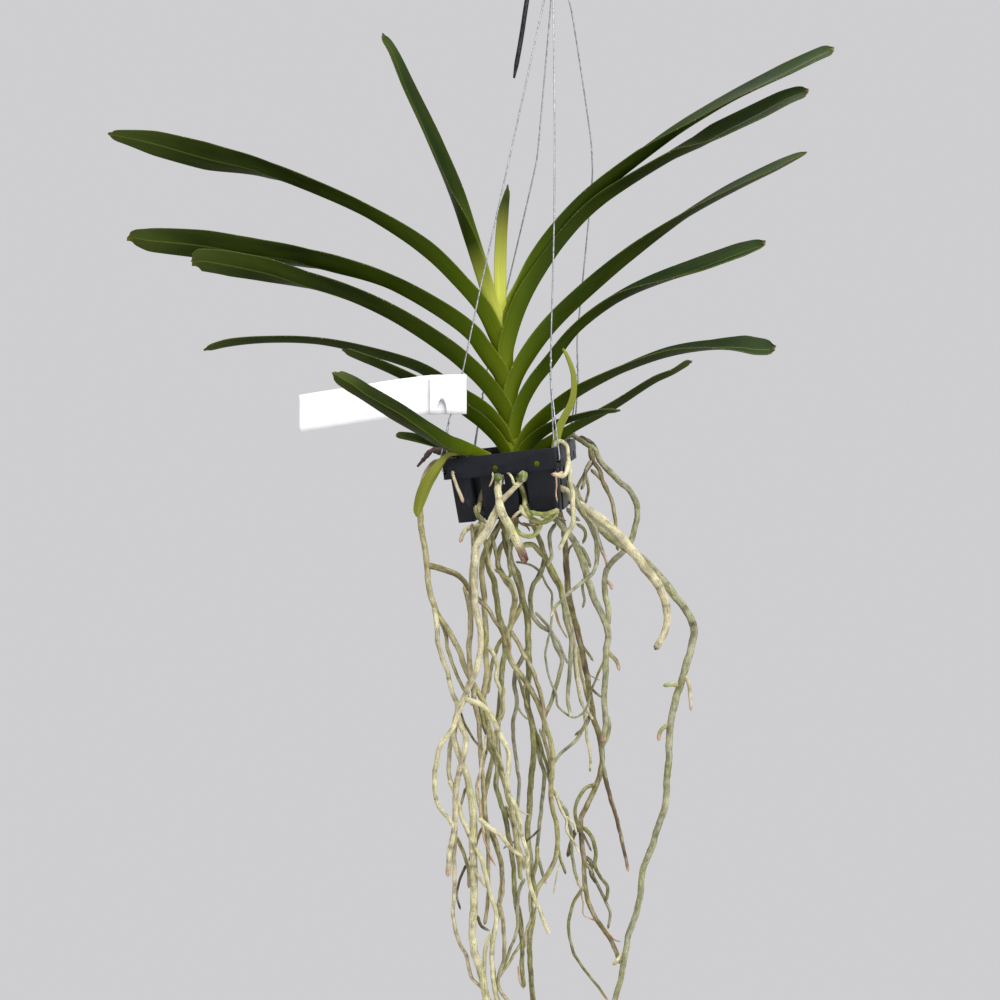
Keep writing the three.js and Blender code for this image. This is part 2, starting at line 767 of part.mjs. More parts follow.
      [560, 427, -26.5, 0, 30, 5.2],
      [572.5, 400, -27, 0, 30, 4.4],
      [574, 376, -26, 0, 34, 3.5],
      [568.5, 358, -25, 0, 36, 2.6],
      [563, 347, -25, 0, 36, 1.6],
    ],
  },
};

function turned([p, q], angle) {
  const turn = degrees(angle);
  return [p * Math.cos(turn) - q * Math.sin(turn), p * Math.sin(turn) + q * Math.cos(turn)];
}

// One cross-section of a blade: five points on the outer face, keel in the middle, then the
// five inner points back again, about the middle of the section's own height and depth. Each
// half is an arc whose slope falls evenly from the keel to the margin.
function bladeRing(place, along, { side, facing, opening, half, bend }, reach = null) {
  const up = sight.clone().cross(along).multiplyScalar(-side).normalize();
  const near = sight.clone().negate();
  near.addScaledVector(along, -near.dot(along)).normalize();
  const curl = degrees(bend);
  const slope = (part) => degrees(opening) + curl * (1 - 2 * part);
  const flat = [];
  for (const [way, part] of [[1, 1], [1, 0.55], [0, 0], [-1, 0.55], [-1, 1]]) {
    const keel = slope(0);
    const angle = slope(part);
    const outer = [
      half * (Math.sin(keel) - Math.sin(angle)) / (2 * curl),
      way * half * (Math.cos(angle) - Math.cos(keel)) / (2 * curl),
    ];
    const thick = way === 0 ? keelThick / Math.sin(keel) : mix(keelThick, bladeThick, part);
    const inward = way === 0 ? 0 : way * (angle - Math.PI / 2);
    const inner = [outer[0] + thick * Math.cos(inward), outer[1] + thick * Math.sin(inward)];
    flat.push({ outer: turned(outer, facing), inner: turned(inner, facing) });
  }
  const middle = [0, 1].map((axis) => {
    const values = flat.map((point) => point.outer[axis]);
    return (Math.max(...values) + Math.min(...values)) / 2;
  });
  const spot = ([p, q], i) => place.clone()
    .addScaledVector(up, p - middle[0])
    .addScaledVector(near, q - middle[1])
    .addScaledVector(along, reach ? reach[i] : 0);
  return [
    ...flat.map((point, i) => spot(point.outer, i)),
    ...flat.map((point, i) => spot(point.inner, i)).reverse(),
  ];
}

const bladeCap = [];
for (let i = 0; i < 4; i += 1) {
  bladeCap.push([i, i + 1, 8 - i], [i, 8 - i, 9 - i]);
}

// The stretch of a leaf from one distance to another along its route, in mm
function bladePart({ side, rows, cut }, from, to, withTip) {
  const route = new THREE.CatmullRomCurve3(rows.map(seen), false, 'centripetal');
  route.arcLengthDivisions = 400;
  const length = route.getLength();
  const end = Math.min(to, length);
  const valuesAt = (t) => {
    const place = Math.min(t * (rows.length - 1), rows.length - 1 - 1e-6);
    const i = Math.floor(place);
    return [3, 4, 5].map((column) => mix(rows[i][column], rows[i + 1][column], place - i));
  };
  const tipBack = Math.min(tipLength, length * tipShare);
  const count = Math.max(2, Math.round((end - from) / stationStep));
  const distances = [];
  for (let i = 0; i <= count; i += 1) {
    distances.push(mix(from, withTip ? end - tipBack : end, i / count));
  }
  const ringAt = (distance, narrow, reach) => {
    const u = distance / length;
    const t = route.getUtoTmapping(u);
    const [facing, opening, width] = valuesAt(t);
    const bend = mix(sheathBend, bladeBend, Math.min(distance / cut, 1));
    const section = { side, facing, opening, half: width * narrow, bend };
    return bladeRing(route.getPoint(t), route.getTangent(t), section, reach);
  };
  const rings = distances.map((distance) => ringAt(distance, 1));
  if (withTip) {
    rings.push(ringAt(end - tipBack * 0.45, 0.86));
    const lobes = tipLobes.map((reach) => reach * tipBack / tipLength);
    rings.push(ringAt(end - tipBack * 0.15, 0.6, lobes));
  }
  return throughRings(rings, bladeCap);
}

// Stem: a short core, its rooting foot, two low side shoots, and every leaf's sheath

const stemAxis = [[511, 478, 0], [512, 452, 0], [510, 420, 0], [506, 375, 0], [503, 335, 0]];
const stemRadii = [6.5, 6.5, 4.2, 3, 1.8];
const leftShootRadii = [4.5, 4.5, 4.5, 3.5];
const rightShootRadii = [4, 4, 3.6, 2.6];
const leftShoot = [[505, 470, -2], [490, 466, -10], [476, 462, -17], [468, 455, -21]];
const rightShoot = [[512, 470, -2], [532, 466, -12], [549, 462, -19], [554, 448, -24]];
const driedStub = [
  [474, 461, -17], [458, 454, -18.5], [441, 451.5, -19], [432, 450.5, -20], [424, 459, -21], [417, 467, -21],
];

function stemSolid() {
  const pieces = [
    rod(stemAxis.map(seen), stemRadii, 8),
    rod(leftShoot.map(seen), leftShootRadii, 6),
    rod(rightShoot.map(seen), rightShootRadii, 6),
    rod(driedStub.map(seen), [2, 2.4, 2.4, 1.8, 1.3, 0.7], 5),
  ];
  for (const leaf of Object.values(leaves)) {
    pieces.push(bladePart(leaf, 0, leaf.cut, false));
  }
  return joined(pieces);
}

// The room that a rod of the stem takes, with the seam that roots keep to it on every side
function roomOf(route, radii, sides) {
  const points = route.map(seen);
  const beyond = (end, next) => end.clone().add(end.clone().sub(next).setLength(seam));
  return rod(
    [beyond(points[0], points[1]), ...points, beyond(points.at(-1), points.at(-2))],
    [radii[0], ...radii, radii.at(-1)].map((radius) => radius + seam),
    sides,
  );
}
const crownRoom = roomOf(stemAxis, stemRadii, 8)
  .add(roomOf(leftShoot, leftShootRadii, 6))
  .add(roomOf(rightShoot, rightShootRadii, 6));

// Roots. Each bunch is one grown piece: strands that share a start or fork from one another.
// inside is a strand's start, in the basket's frame; hangs is the rest, as picture column, row
// and depth. thick is its radius at the start and at the tip.

const roots = {
  roots_left: [
    {
      thick: [1.6, 1.2],
      inside: [[-17, -12, -8], [-26, -9, -1], [-32.5, -8, 2.4], [-37, -8, 2.4], [-40.5, -8, -1]],
      hangs: [
        [430, 466, -13], [423, 482, -18], [420.5, 500, -22], [420, 515, -25], [422, 532, -27],
        [425, 549, -27], [427, 566, -27], [428, 580, -27], [431, 596, -27], [436, 611, -27],
        [450, 633, -27], [460, 653, -27], [468, 674, -27], [478, 692, -27], [485, 706, -27],
        [488, 722, -27], [488, 740, -27], [496, 761, -28], [502, 775, -28], [509, 800, -28],
        [514, 822, -28], [516, 842, -28], [519, 862, -28], [521, 880, -28],
      ],
    },
    {
      thick: [1.5, 0.8],
      hangs: [
        [427, 565, -27], [438.6, 568, -27], [450, 571.5, -27], [459, 576, -27], [470, 590, -27],
        [479, 600, -27], [487.5, 608, -27], [495, 621, -27], [503, 634, -27], [506, 648, -28],
      ],
    },
    {
      thick: [1.2, 0.8],
      hangs: [
        [434, 606, -27], [437.5, 630, -31], [437.5, 641, -32], [441.6, 656, -32], [447, 670, -32],
        [452, 692, -32], [457, 706, -32], [455, 725, -32], [450, 746, -32], [449, 767, -32],
        [450, 780, -32], [456, 792, -32], [455.5, 824, -32], [454.4, 852, -32], [454.4, 888, -32],
        [453.5, 920, -32], [459.5, 943, -32], [467, 957, -32], [471, 977, -32], [481, 987, -32],
        [489, 998, -32], [494, 1012, -32],
      ],
    },
    {
      thick: [1, 0.7],
      hangs: [
        [439, 617, -27], [445, 632, -24], [448, 649, -23], [451, 660, -23], [460, 682, -23],
        [466, 693, -23], [472, 706, -22],
      ],
    },
  ],
  root_front_red: [
    {
      thick: [2.2, 2],
      inside: [[-2, -7, -11], [-2.5, -24, -14.5], [-2.5, -35.5, -16.2]],
      hangs: [
        [498, 486, -39], [498.5, 497, -44], [501, 510, -46], [508, 524, -46], [515, 538, -46],
        [521, 550, -45], [526, 563, -44],
      ],
    },
  ],
  roots_front_pale: [
    {
      thick: [1.5, 1.3],
      inside: [[1, -5, -10], [7.2, -17, -13.5], [10.75, -29, -16.5], [10.75, -37, -18.5]],
      hangs: [
        [515, 487, -38], [507, 495, -39], [499, 505, -39.5], [494, 516, -40.5], [487, 530, -41.5],
        [477, 546, -42], [474.5, 571, -42], [475, 596, -42], [476, 611, -42], [480.5, 630, -42],
        [480.5, 650, -42], [476.5, 668, -42], [469, 688, -42], [461, 705, -42], [458, 714, -42],
        [461, 726, -42], [466, 737, -42], [465, 748, -42], [462, 761, -42], [457, 782, -42],
        [455, 806, -42], [455, 826, -42], [450, 850, -42], [448, 877, -42],
      ],
      widths: [1, 1, 1, 1, 1, 1.1, 1.2, 1.3, 1.3, 1.2, 1.15, 1.1, 1.05, 1],
    },
    {
      thick: [1.2, 0.9],
      hangs: [
        [459, 711, -42], [453, 728, -45], [440, 746, -46], [436, 765, -46], [434.5, 782, -46],
        [436, 799, -46], [441, 810, -46], [449, 819, -46], [453.5, 828, -47],
      ],
    },
    {
      thick: [1.3, 0.9],
      hangs: [
        [464, 699, -42], [475, 702, -45], [482, 705, -46], [489, 712, -46], [496, 726, -46],
        [502, 738, -46], [508.5, 752, -46], [508, 768, -46], [507, 782, -46], [510, 796, -46],
        [517, 809, -46], [522, 836, -46], [527, 852, -46], [528.5, 879, -46], [535, 899, -46],
        [543, 919, -46], [549.5, 935, -46],
      ],
    },
  ],
  roots_front_left: [
    {
      thick: [1.7, 0.9],
      inside: [[-11, -13, -13], [-16, -22, -24], [-17.9, -30.5, -32.5], [-17.9, -36, -36]],
      hangs: [
        [482, 520, -31], [480, 534, -33.5], [475, 552, -36], [472, 575, -36], [471.5, 592, -36],
        [470.5, 612, -36], [471, 627, -36], [469, 646, -36], [470, 668, -36], [473, 688, -36],
        [474.5, 703, -36], [479, 722, -36], [480, 748, -36], [482, 770, -36], [484, 796, -36],
        [486, 820, -36], [488, 850, -36], [488.4, 874, -36], [487.5, 905, -36], [484.5, 925, -36],
      ],
    },
    {
      thick: [1.5, 1.3],
      hangs: [
        [471, 680, -36], [464, 698, -37], [456, 718, -37], [454, 738, -37], [461, 760, -37],
        [468, 781, -37], [472, 804, -37], [473.5, 824, -37], [473, 852, -37], [474, 880, -37],
        [474, 903, -37], [472.6, 926, -37], [474, 950, -37], [480, 970, -37], [484, 985, -37],
        [486, 1003, -37], [484, 1022, -37], [480, 1040, -37],
      ],
      widths: [1, 1, 1, 1, 1, 1.1, 1.2, 1.3],
    },
    {
      thick: [1.4, 0.9],
      hangs: [[482, 524, -31.5], [475, 527, -29], [468, 528.5, -27], [463, 534, -27.5], [460, 543, -28]],
    },
  ],
  root_rim_hole: [
    {
      thick: [1.05, 0.9],
      inside: [[-19, -18, -8.2], [-25, -26, -8.6], [-29.5, -32, -8.7], [-29.5, -38.8, -8.8]],
      hangs: [[455, 481, -34], [459, 491, -34.5], [463.5, 503, -34.5]],
    },
  ],
  roots_middle_left: [
    {
      thick: [1.5, 1.1],
      inside: [[-5.5, -4, -14], [-8, -8, -28], [-9, -9, -42]],
      hangs: [
        [496, 530, -11], [487, 546, -17], [482, 562, -20], [482.5, 580, -20], [484, 598, -20],
        [485, 616, -20], [486, 632, -20], [485.5, 650, -20], [487, 672, -20], [484, 689, -20],
        [483, 704, -20], [486, 720, -20], [493, 738, -20], [493.5, 752, -20], [490, 770, -20],
        [486, 788, -20], [483.5, 806, -20], [488, 826, -20], [496, 846, -20], [501, 862, -20],
        [502, 880, -20], [500, 900, -20], [497, 918, -20], [493.5, 936, -20], [492, 958, -20],
        [494, 980, -20], [498, 1001, -20], [502, 1022, -20],
      ],
    },
    {
      thick: [1.2, 0.8],
      hangs: [
        [486, 645, -20], [494, 655, -18], [497, 667, -17], [496, 677, -17], [501, 692, -17],
        [502, 706, -17], [497, 728, -17],
      ],
    },
    {
      thick: [0.9, 0.6],
      hangs: [
        [493.5, 740, -20], [486, 752, -23], [482, 768, -23], [476.5, 789, -23], [479.5, 808, -23],
        [483, 827, -23], [487, 848, -23], [494, 864, -23],
      ],
    },
  ],
  root_middle_dark: [
    {
      thick: [1.6, 1.1],
      inside: [[-7, 0, -13], [-9, 1, -28], [-9, 0, -42]],
      hangs: [
        [496, 532, -5], [489, 552, -11], [488, 566, -12], [494, 582, -12], [497, 602, -12],
        [499, 616, -12], [504, 632, -12], [505, 650, -12], [502, 670, -12], [501, 690, -12],
        [499, 712, -12], [497, 736, -12], [499, 760, -12], [496, 785, -12], [502, 806, -12],
        [507, 826, -12], [511, 850, -12], [514, 874, -12], [515, 898, -12], [519, 922, -12],
        [522, 943, -12], [522, 966, -12], [524, 988, -12],
      ],
    },
  ],
  roots_middle_pale: [
    {
      thick: [1.6, 1.1],
      inside: [[-2, -1, -16], [-3, -3, -28], [-3, -4, -42]],
      hangs: [
        [508, 534, -3], [500, 550, -4], [498, 566, -4], [505, 579, -4], [512, 589, -4],
        [515, 598, -4], [513, 611, -4], [510, 628, -4], [508, 642, -4], [509, 656, -4],
        [516, 669, -4], [525, 680, -4], [532, 692, -4], [540, 708, -4], [545, 724, -4],
        [550, 740, -4], [553, 757, -4], [551.5, 778, -4], [551, 800, -4], [556, 822, -4],
        [557.5, 843, -4], [554, 863, -4], [546, 876, -4], [537, 890, -4], [534, 908, -4],
      ],
    },
    {
      thick: [1.1, 0.8],
      hangs: [
        [510, 630, -4], [517, 641, -7], [524, 654, -8], [532, 669, -8], [537, 682, -8],
        [543, 702, -8], [544, 716, -8],
      ],
    },
  ],
  roots_middle_right: [
    {
      thick: [1.8, 1.2],
      inside: [[-3, 4.5, -13], [-2, 6, -28], [-2, 7, -42]],
      hangs: [
        [514, 534, 8], [510, 548, 5], [511, 562, 4], [517, 574, 4], [521, 589, 4], [522.5, 600, 4],
        [526.5, 612, 4], [528, 630, 4], [528.5, 650, 4], [529, 670, 4], [527, 690, 4],
        [527.5, 706, 4], [532, 724, 4], [534, 745, 4], [532, 770, 4], [530, 796, 4],
        [529, 815, 4], [527.5, 836, 4], [530, 856, 4], [532.5, 876, 4], [534, 898, 4],
        [533, 918, 4], [529.5, 940, 4], [530, 960, 4], [531.5, 984, 4], [533, 1004, 4],
        [533, 1022, 4], [531, 1038, 4],
      ],
    },
    {
      thick: [1.3, 0.8],
      hangs: [
        [522.5, 601, 4], [517, 615, 2.5], [508, 630, 4.5], [499, 644, 5], [493, 660, 5],
        [490, 676, 5], [488, 694, 5],
      ],
    },
    {
      thick: [1.2, 0.8],
      hangs: [
        [528.5, 646, 4], [521, 661, 3], [515, 673, 4], [514.5, 686, 4], [517, 704, 4],
        [513, 723, 4], [514, 744, 4], [517, 764, 4], [519, 785, 4], [517.5, 808, 4], [514, 836, 4],
      ],
    },
    {
      thick: [1.2, 0.8],
      hangs: [
        [532, 722, 4], [538, 742, 8], [540, 760, 9], [544.5, 772, 9], [543, 790, 9],
        [541, 812, 9], [538.5, 834, 9], [537, 850, 9], [541, 868, 9], [546, 884, 9],
      ],
    },
  ],
  roots_right_pale: [
    {
      thick: [1.7, 0.9],
      inside: [[3.5, -3.5, -13.5], [6, -4, -28], [8, -4, -42]],
      hangs: [
        [534, 527, 2], [541, 543, 6], [546, 560, 8], [552, 574, 8], [559, 586, 8], [562.5, 600, 8],
        [566, 620, 8], [571, 639, 8], [570.5, 657, 8], [569.5, 677, 8], [567.5, 696, 8],
        [571, 718, 8],
      ],
    },
    {
      thick: [1.1, 0.7],
      hangs: [
        [562, 596, 8], [567, 610, 11], [571.5, 628, 12], [575, 650, 12], [577, 672, 12],
        [579, 692, 12], [585, 711, 12],
      ],
    },
    {
      thick: [1.2, 0.8],
      hangs: [
        [545, 557, 8], [540, 576, 11], [533, 585, 13], [530.5, 597, 13], [532, 614, 13],
        [540, 625, 13], [551, 633, 13], [556, 647, 13], [562, 659, 13], [557, 682, 13],
        [551, 703, 13], [545, 716, 14], [544, 736, 14], [549, 757, 14], [549, 778, 14],
        [557, 797, 14], [566, 812, 14], [571, 832, 14], [572, 856, 14], [575, 871, 14],
        [579.5, 887, 14],
      ],
    },
  ],
  roots_right_brown: [
    {
      thick: [1.8, 1.1],
      inside: [[3.8, 5.5, -12.8], [13, 10, -24], [24.5, 10.75, -38], [25, 10.75, -43]],
      hangs: [
        [563, 523, 18], [564.5, 539, 22], [566, 556, 24], [567, 574, 24], [568.5, 594, 24],
        [574, 618, 24], [580, 642, 24], [586, 671, 24], [590.5, 699, 24], [594, 720, 24],
        [600, 738, 24], [602, 755, 24], [600, 774, 24], [594, 791, 24], [587, 805, 24],
        [581.5, 817, 24], [581.5, 840, 24], [584, 862, 24], [585.5, 890, 24], [591.5, 910, 24],
        [604.5, 931, 24], [614, 946, 24], [620, 964, 24],
      ],
    },
    {
      thick: [1.2, 0.8],
      hangs: [
        [602, 765, 24], [608, 789, 27], [613, 806, 28], [620, 832, 28], [625, 855, 28], [628.5, 872, 28],
      ],
    },
    {
      thick: [1, 0.8],
      hangs: [
        [597, 784, 24], [586, 788, 20], [578, 799, 19], [575, 811, 19], [577, 822, 20], [581, 834, 24],
      ],
    },
    {
      thick: [0.9, 0.6],
      hangs: [
        [585, 885, 24], [575, 900, 21], [569.5, 917, 20], [569, 934, 20], [574, 953, 20],
        [584, 969, 20], [599, 988, 20], [610, 1003, 20],
      ],
    },
    {
      thick: [1, 0.7],
      hangs: [
        [584, 862, 24], [591, 870, 27], [595, 880, 28], [601.5, 893, 28], [610, 912, 28], [608, 929, 28],
      ],
    },
    {
      thick: [1, 0.7],
      hangs: [
        [592.5, 710, 24], [585, 725, 21], [575.5, 741, 20], [564, 750, 20], [555, 761, 20], [549, 770, 20],
      ],
    },
  ],
  roots_right_long: [
    {
      thick: [2.1, 1.3],
      inside: [[5, 2, -11], [20, 8.5, -20], [28, 10.75, -24.5], [34, 10.75, -28]],
      hangs: [
        [582, 503, 6], [597, 526, -2], [611, 538, -6], [629, 550, -8], [647, 563, -9], [661, 578, -10],
        [674, 595, -10], [686, 610, -10], [693.5, 627, -10], [692.5, 643, -10], [687, 662, -10],
        [681, 683, -10], [674, 706, -10], [670, 728, -10], [669, 756, -10], [667, 778, -10],
        [665.5, 804, -10], [659, 824, -10], [651.5, 848, -10], [643, 869, -10], [641, 889, -10],
        [636, 914, -10], [628, 937, -10], [624, 962, -10], [620, 982, -10], [614, 1002, -10],
        [610, 1020, -10], [612, 1038, -10],
      ],
    },
    {
      thick: [1, 0.7],
      hangs: [[684, 672, -10], [688, 682, -11], [690, 697, -11], [691, 711, -11]],
    },
    {
      thick: [1.3, 1.1],
      hangs: [[680, 686, -10], [672, 684, -10], [663, 686, -10]],
    },
    {
      thick: [1.2, 1],
      hangs: [[669.5, 724, -10], [661, 730, -10], [658.5, 741, -10]],
    },
  ],
  root_right_thick: [
    {
      thick: [2.2, 1.5],
      inside: [[5, -3, -13], [14, -11, -19.5], [25, -17.9, -24.5], [35, -17.9, -28]],
      hangs: [
        [572, 499, -20], [585, 508, -20], [597, 517, -20], [611, 528, -20], [624, 541, -20],
        [639, 560, -20], [651, 575, -20], [660, 588, -20], [665.5, 603, -20], [667.5, 618, -20],
        [664.5, 632, -20], [655, 650, -20],
      ],
      widths: [1, 1, 1, 1, 1.2, 1.3, 1.3, 1.3, 1.3, 1.3, 1.3, 1.3, 1.25, 1.1, 1.1, 1],
    },
  ],
  roots_over_rim: [
    {
      thick: [1.6, 1.4],
      inside: [
        [0.5, 6, -9], [7, 18, -10], [28, 24, -5], [33.5, 24, 2.4], [37.4, 23.5, 2.5], [40.5, 22, 0],
      ],
      hangs: [
        [585, 443, 12], [595, 450, 12], [600, 461, 12], [609, 471, 12], [619, 481, 12], [629, 490, 12],
        [637, 506, 12], [636, 524, 12], [630, 542, 12], [621, 554, 11], [611, 563, 6], [605, 575, 1],
        [605, 592, -3], [608, 608, -6], [608, 626, -8],
      ],
    },
    {
      thick: [2, 1.3],
      inside: [[23, -17.9, -40.5], [25, -17.9, -43]],
      hangs: [
        [560, 524, -14], [569, 534, -10], [577, 547, -8], [583, 562, -8], [588.5, 582, -8],
        [594, 598, -8], [602, 615, -8], [608, 632, -8], [606, 652, -8], [605.5, 675, -8],
        [604, 698, -8], [605.5, 718, -8], [603, 742, -8],
      ],
    },
    {
      thick: [1.1, 0.9],
      hangs: [[606, 650, -8], [611, 655, -8], [616.5, 661, -8], [619.5, 671, -8]],
    },
    {
      thick: [1, 0.8],
      hangs: [[605, 580, 0], [610, 584, -1], [612.5, 590, -1]],
    },
    {
      thick: [1.1, 0.8],
      hangs: [
        [590, 446, 12], [591.5, 458, 9], [599, 470, 6], [605, 487, 4], [611, 498, 4], [615, 520, 3],
        [616.5, 540, 3], [618, 551, 3],
      ],
    },
    {
      thick: [1, 0.8],
      hangs: [[591.5, 460, 9], [586, 470, 2], [585, 480, -2], [581, 490, -5]],
    },
  ],
  roots_front_right: [
    {
      thick: [1.3, 1.1],
      inside: [[27, -18.5, -7.5], [31.5, -27, -1.5], [34.3, -26.5, 2.6], [37.3, -26, 2.4], [40, -26, -0.5]],
      hangs: [
        [568, 456, -33], [569.5, 467, -33], [570.5, 482, -32], [573, 495, -31], [572.5, 506, -31],
        [573.5, 517, -31], [571, 528, -31], [564.5, 539, -31], [559, 550, -31],
      ],
    },
    {
      thick: [1.1, 0.7],
      hangs: [
        [572, 491, -31], [578, 502, -29], [584, 514, -28], [591, 528, -28], [596, 542, -28],
        [595, 568, -28], [588, 578, -28], [576, 587, -28], [564, 598, -28], [555, 607, -28],
        [550, 617, -28],
      ],
    },
    {
      thick: [0.9, 0.7],
      hangs: [[585, 516, -28], [594, 524, -31], [598, 538, -32], [602, 551, -32], [608, 563, -32]],
    },
    {
      thick: [1.1, 1],
      hangs: [[568.5, 460, -33], [567, 470, -36], [563, 476, -41], [557, 475, -43.5], [551, 474, -44]],
    },
  ],
  roots_front_low: [
    {
      thick: [1.5, 1.2],
      inside: [[0, -5, -14.5], [6, -14, -22], [10.2, -25, -29], [10.75, -35, -34]],
      hangs: [
        [525, 507, -36.5], [529.5, 516, -37], [540, 522, -37], [551, 518.5, -37], [559, 509, -38],
      ],
    },
    {
      thick: [1.2, 1],
      hangs: [[559, 509.5, -38], [553, 512, -40.5], [545, 514, -41.5], [536, 513.5, -41.5], [529, 511, -41]],
    },
    {
      thick: [1.2, 1],
      hangs: [[541, 522, -37], [538.5, 530, -34], [531, 536.5, -33], [522, 535, -32], [514, 526.5, -31]],
    },
    {
      thick: [0.9, 0.7],
      hangs: [[526, 508.5, -36.5], [519, 512, -37.5], [511.5, 519, -38.5]],
    },
  ],
};

function strandSolid({ thick, widths = [], inside = [], hangs }) {
  const points = [...inside.map(inBasket), ...hangs.map(seen)];
  const radii = points.map((_, i) => {
    const along = i / (points.length - 1);
    const outside = inside.length ? THREE.MathUtils.clamp((i - inside.length) / rootSwellPoints, 0, 1) : 1;
    const swell = (widths[Math.min(i, widths.length - 1)] ?? 1) * mix(1, rootSwell, outside);
    return mix(thick[0], thick[1], along) * swell;
  });
  return rod(points, radii, rootSides);
}

function bunchSolid(strands) {
  const grown = strands.map(strandSolid).reduce((whole, next) => whole.add(next));
  return outerSkin(grown.subtract(crownRoom));
}

// Materials

const plastic = new THREE.MeshStandardMaterial({ color: 0x32343e, roughness: 0.5, metalness: 0 });
const steel = new THREE.MeshStandardMaterial({ color: 0x2c2c2e, roughness: 0.4, metalness: 0.9 });
const galvanised = new THREE.MeshStandardMaterial({ color: 0x9a9c9c, roughness: 0.4, metalness: 0.9 });
const whiteFilm = new THREE.MeshStandardMaterial({ color: 0xf0f0f0, roughness: 0.5, metalness: 0 });
const leafGreen = new THREE.MeshStandardMaterial({ color: 0x4f6e22, roughness: 0.45, metalness: 0 });
const sheathGreen = new THREE.MeshStandardMaterial({ color: 0x7c9a32, roughness: 0.5, metalness: 0 });
const rootGrey = new THREE.MeshStandardMaterial({ color: 0x8f8f70, roughness: 0.85, metalness: 0 });

const part = new THREE.Group();
const plant = new THREE.Group();
plant.position.set(-hangRight, 0, -hangHeight);
part.add(plant);

function place(parent, name, solid, material) {
  const mesh = new THREE.Mesh(geometryOf(solid), material);
  mesh.name = name;
  parent.add(mesh);
}

plant.add(basketFrame);
place(basketFrame, 'basket', basketSolid(), plastic);
place(plant, 'hook', hookSolid(), steel);
for (const name of loopOrder) place(plant, `wire_${name}`, wireSolid(name), galvanised);
place(plant, 'label', labelSolid(), whiteFilm);
place(plant, 'stem', stemSolid(), sheathGreen);
for (const [name, leaf] of Object.entries(leaves)) {
  place(plant, name, bladePart(leaf, leaf.cut + seam, Infinity, true), leafGreen);
}
for (const [name, strands] of Object.entries(roots)) {
  place(plant, name, bunchSolid(strands), rootGrey);
}

export default part;
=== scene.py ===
"""An orchid with two ranks of strap leaves and long aerial roots in a small hanging plastic basket.

Routes are in millimetres about the plant's crown, as they are read from the picture. A finished
mesh is in metres from the point where the hook hangs.
"""

import bmesh
import bpy
import numpy as np
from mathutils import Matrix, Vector


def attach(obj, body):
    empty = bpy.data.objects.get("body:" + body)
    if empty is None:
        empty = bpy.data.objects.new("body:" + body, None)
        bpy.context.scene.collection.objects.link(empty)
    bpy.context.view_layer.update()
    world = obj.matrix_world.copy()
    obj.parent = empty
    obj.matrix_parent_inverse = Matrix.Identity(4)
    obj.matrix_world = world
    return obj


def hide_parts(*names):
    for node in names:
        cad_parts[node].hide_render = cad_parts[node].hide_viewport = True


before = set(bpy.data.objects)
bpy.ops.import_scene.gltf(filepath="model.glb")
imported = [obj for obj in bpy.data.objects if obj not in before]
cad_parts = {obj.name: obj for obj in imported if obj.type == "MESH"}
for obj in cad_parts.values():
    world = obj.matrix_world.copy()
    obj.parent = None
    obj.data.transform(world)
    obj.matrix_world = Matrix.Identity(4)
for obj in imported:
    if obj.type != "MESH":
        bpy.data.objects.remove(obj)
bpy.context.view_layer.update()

# The picture that routes are read from: a pixel is 0.625 mm wide at the crown's depth
PIXEL = 0.625
PICTURE_CENTRE = 500
CROWN_ROW = 450
VIEW_DISTANCE = 1000
EYE_HEIGHT = (CROWN_ROW - PICTURE_CENTRE) * PIXEL
HANG = np.array([35.0, 0.0, 351.6])   # the hook's bearing point from the crown

# Basket: its tilt and the sizes that wires and roots need
BASKET_PLACE = np.array([6.0, 0.0, 0.8])
BASKET_YAW, BASKET_ROLL, BASKET_PITCH = np.radians([-11.0, -5.8, 6.4])
RIM_SIDE = 73.0
RIM_WALL = 1.8
RIM_CORNER = 3.0
WIRE_HOLE_HEIGHT = -8.0

# Suspension
HOOK_ROD = 3.0
HOOK_BEND = 6.25
EYE_RADIUS = 6.0
WIRE_ROD = 1.0
WIRE_LOOP = 2.95
WIRE_PITCH = 1.55
WIRE_NECK = 3.0
EYE_ROW = -36

# Plant
BLADE_THICK = 0.9
KEEL_THICK = 1.2
SEAM = 0.35
TIP_LENGTH = 7.0
TIP_SHARE = 0.07
BLUNT_END = 0.12                      # share of a rod's radius at the flat face that closes its end


def seen(points):
    """Picture column, row and depth to mm: a pixel's width grows in step with its distance
    from the camera, and the camera looks level at the picture's centre."""
    points = np.asarray(points, float)
    spread = PIXEL * (1 + points[:, 2] / VIEW_DISTANCE)
    return np.stack([
        (points[:, 0] - PICTURE_CENTRE) * spread,
        points[:, 2],
        EYE_HEIGHT - (points[:, 1] - PICTURE_CENTRE) * spread,
    ], 1)


def turn_about(axis, angle):
    """Rotation matrix about one of the three axes."""
    first, second = [k for k in range(3) if k != axis]
    turn = np.eye(3)
    sign = -1 if axis == 1 else 1
    turn[first, first] = turn[second, second] = np.cos(angle)
    turn[first, second] = -sign * np.sin(angle)
    turn[second, first] = sign * np.sin(angle)
    return turn


BASKET_TURN = turn_about(2, BASKET_YAW) @ turn_about(1, BASKET_ROLL) @ turn_about(0, BASKET_PITCH)


def in_basket(points):
    """Points of the basket's own frame, with the middle of the rim's top at 0, to mm about the crown."""
    return np.asarray(points, float) @ BASKET_TURN.T + BASKET_PLACE


def unit(vectors):
    return vectors / np.linalg.norm(vectors, axis=-1, keepdims=True)


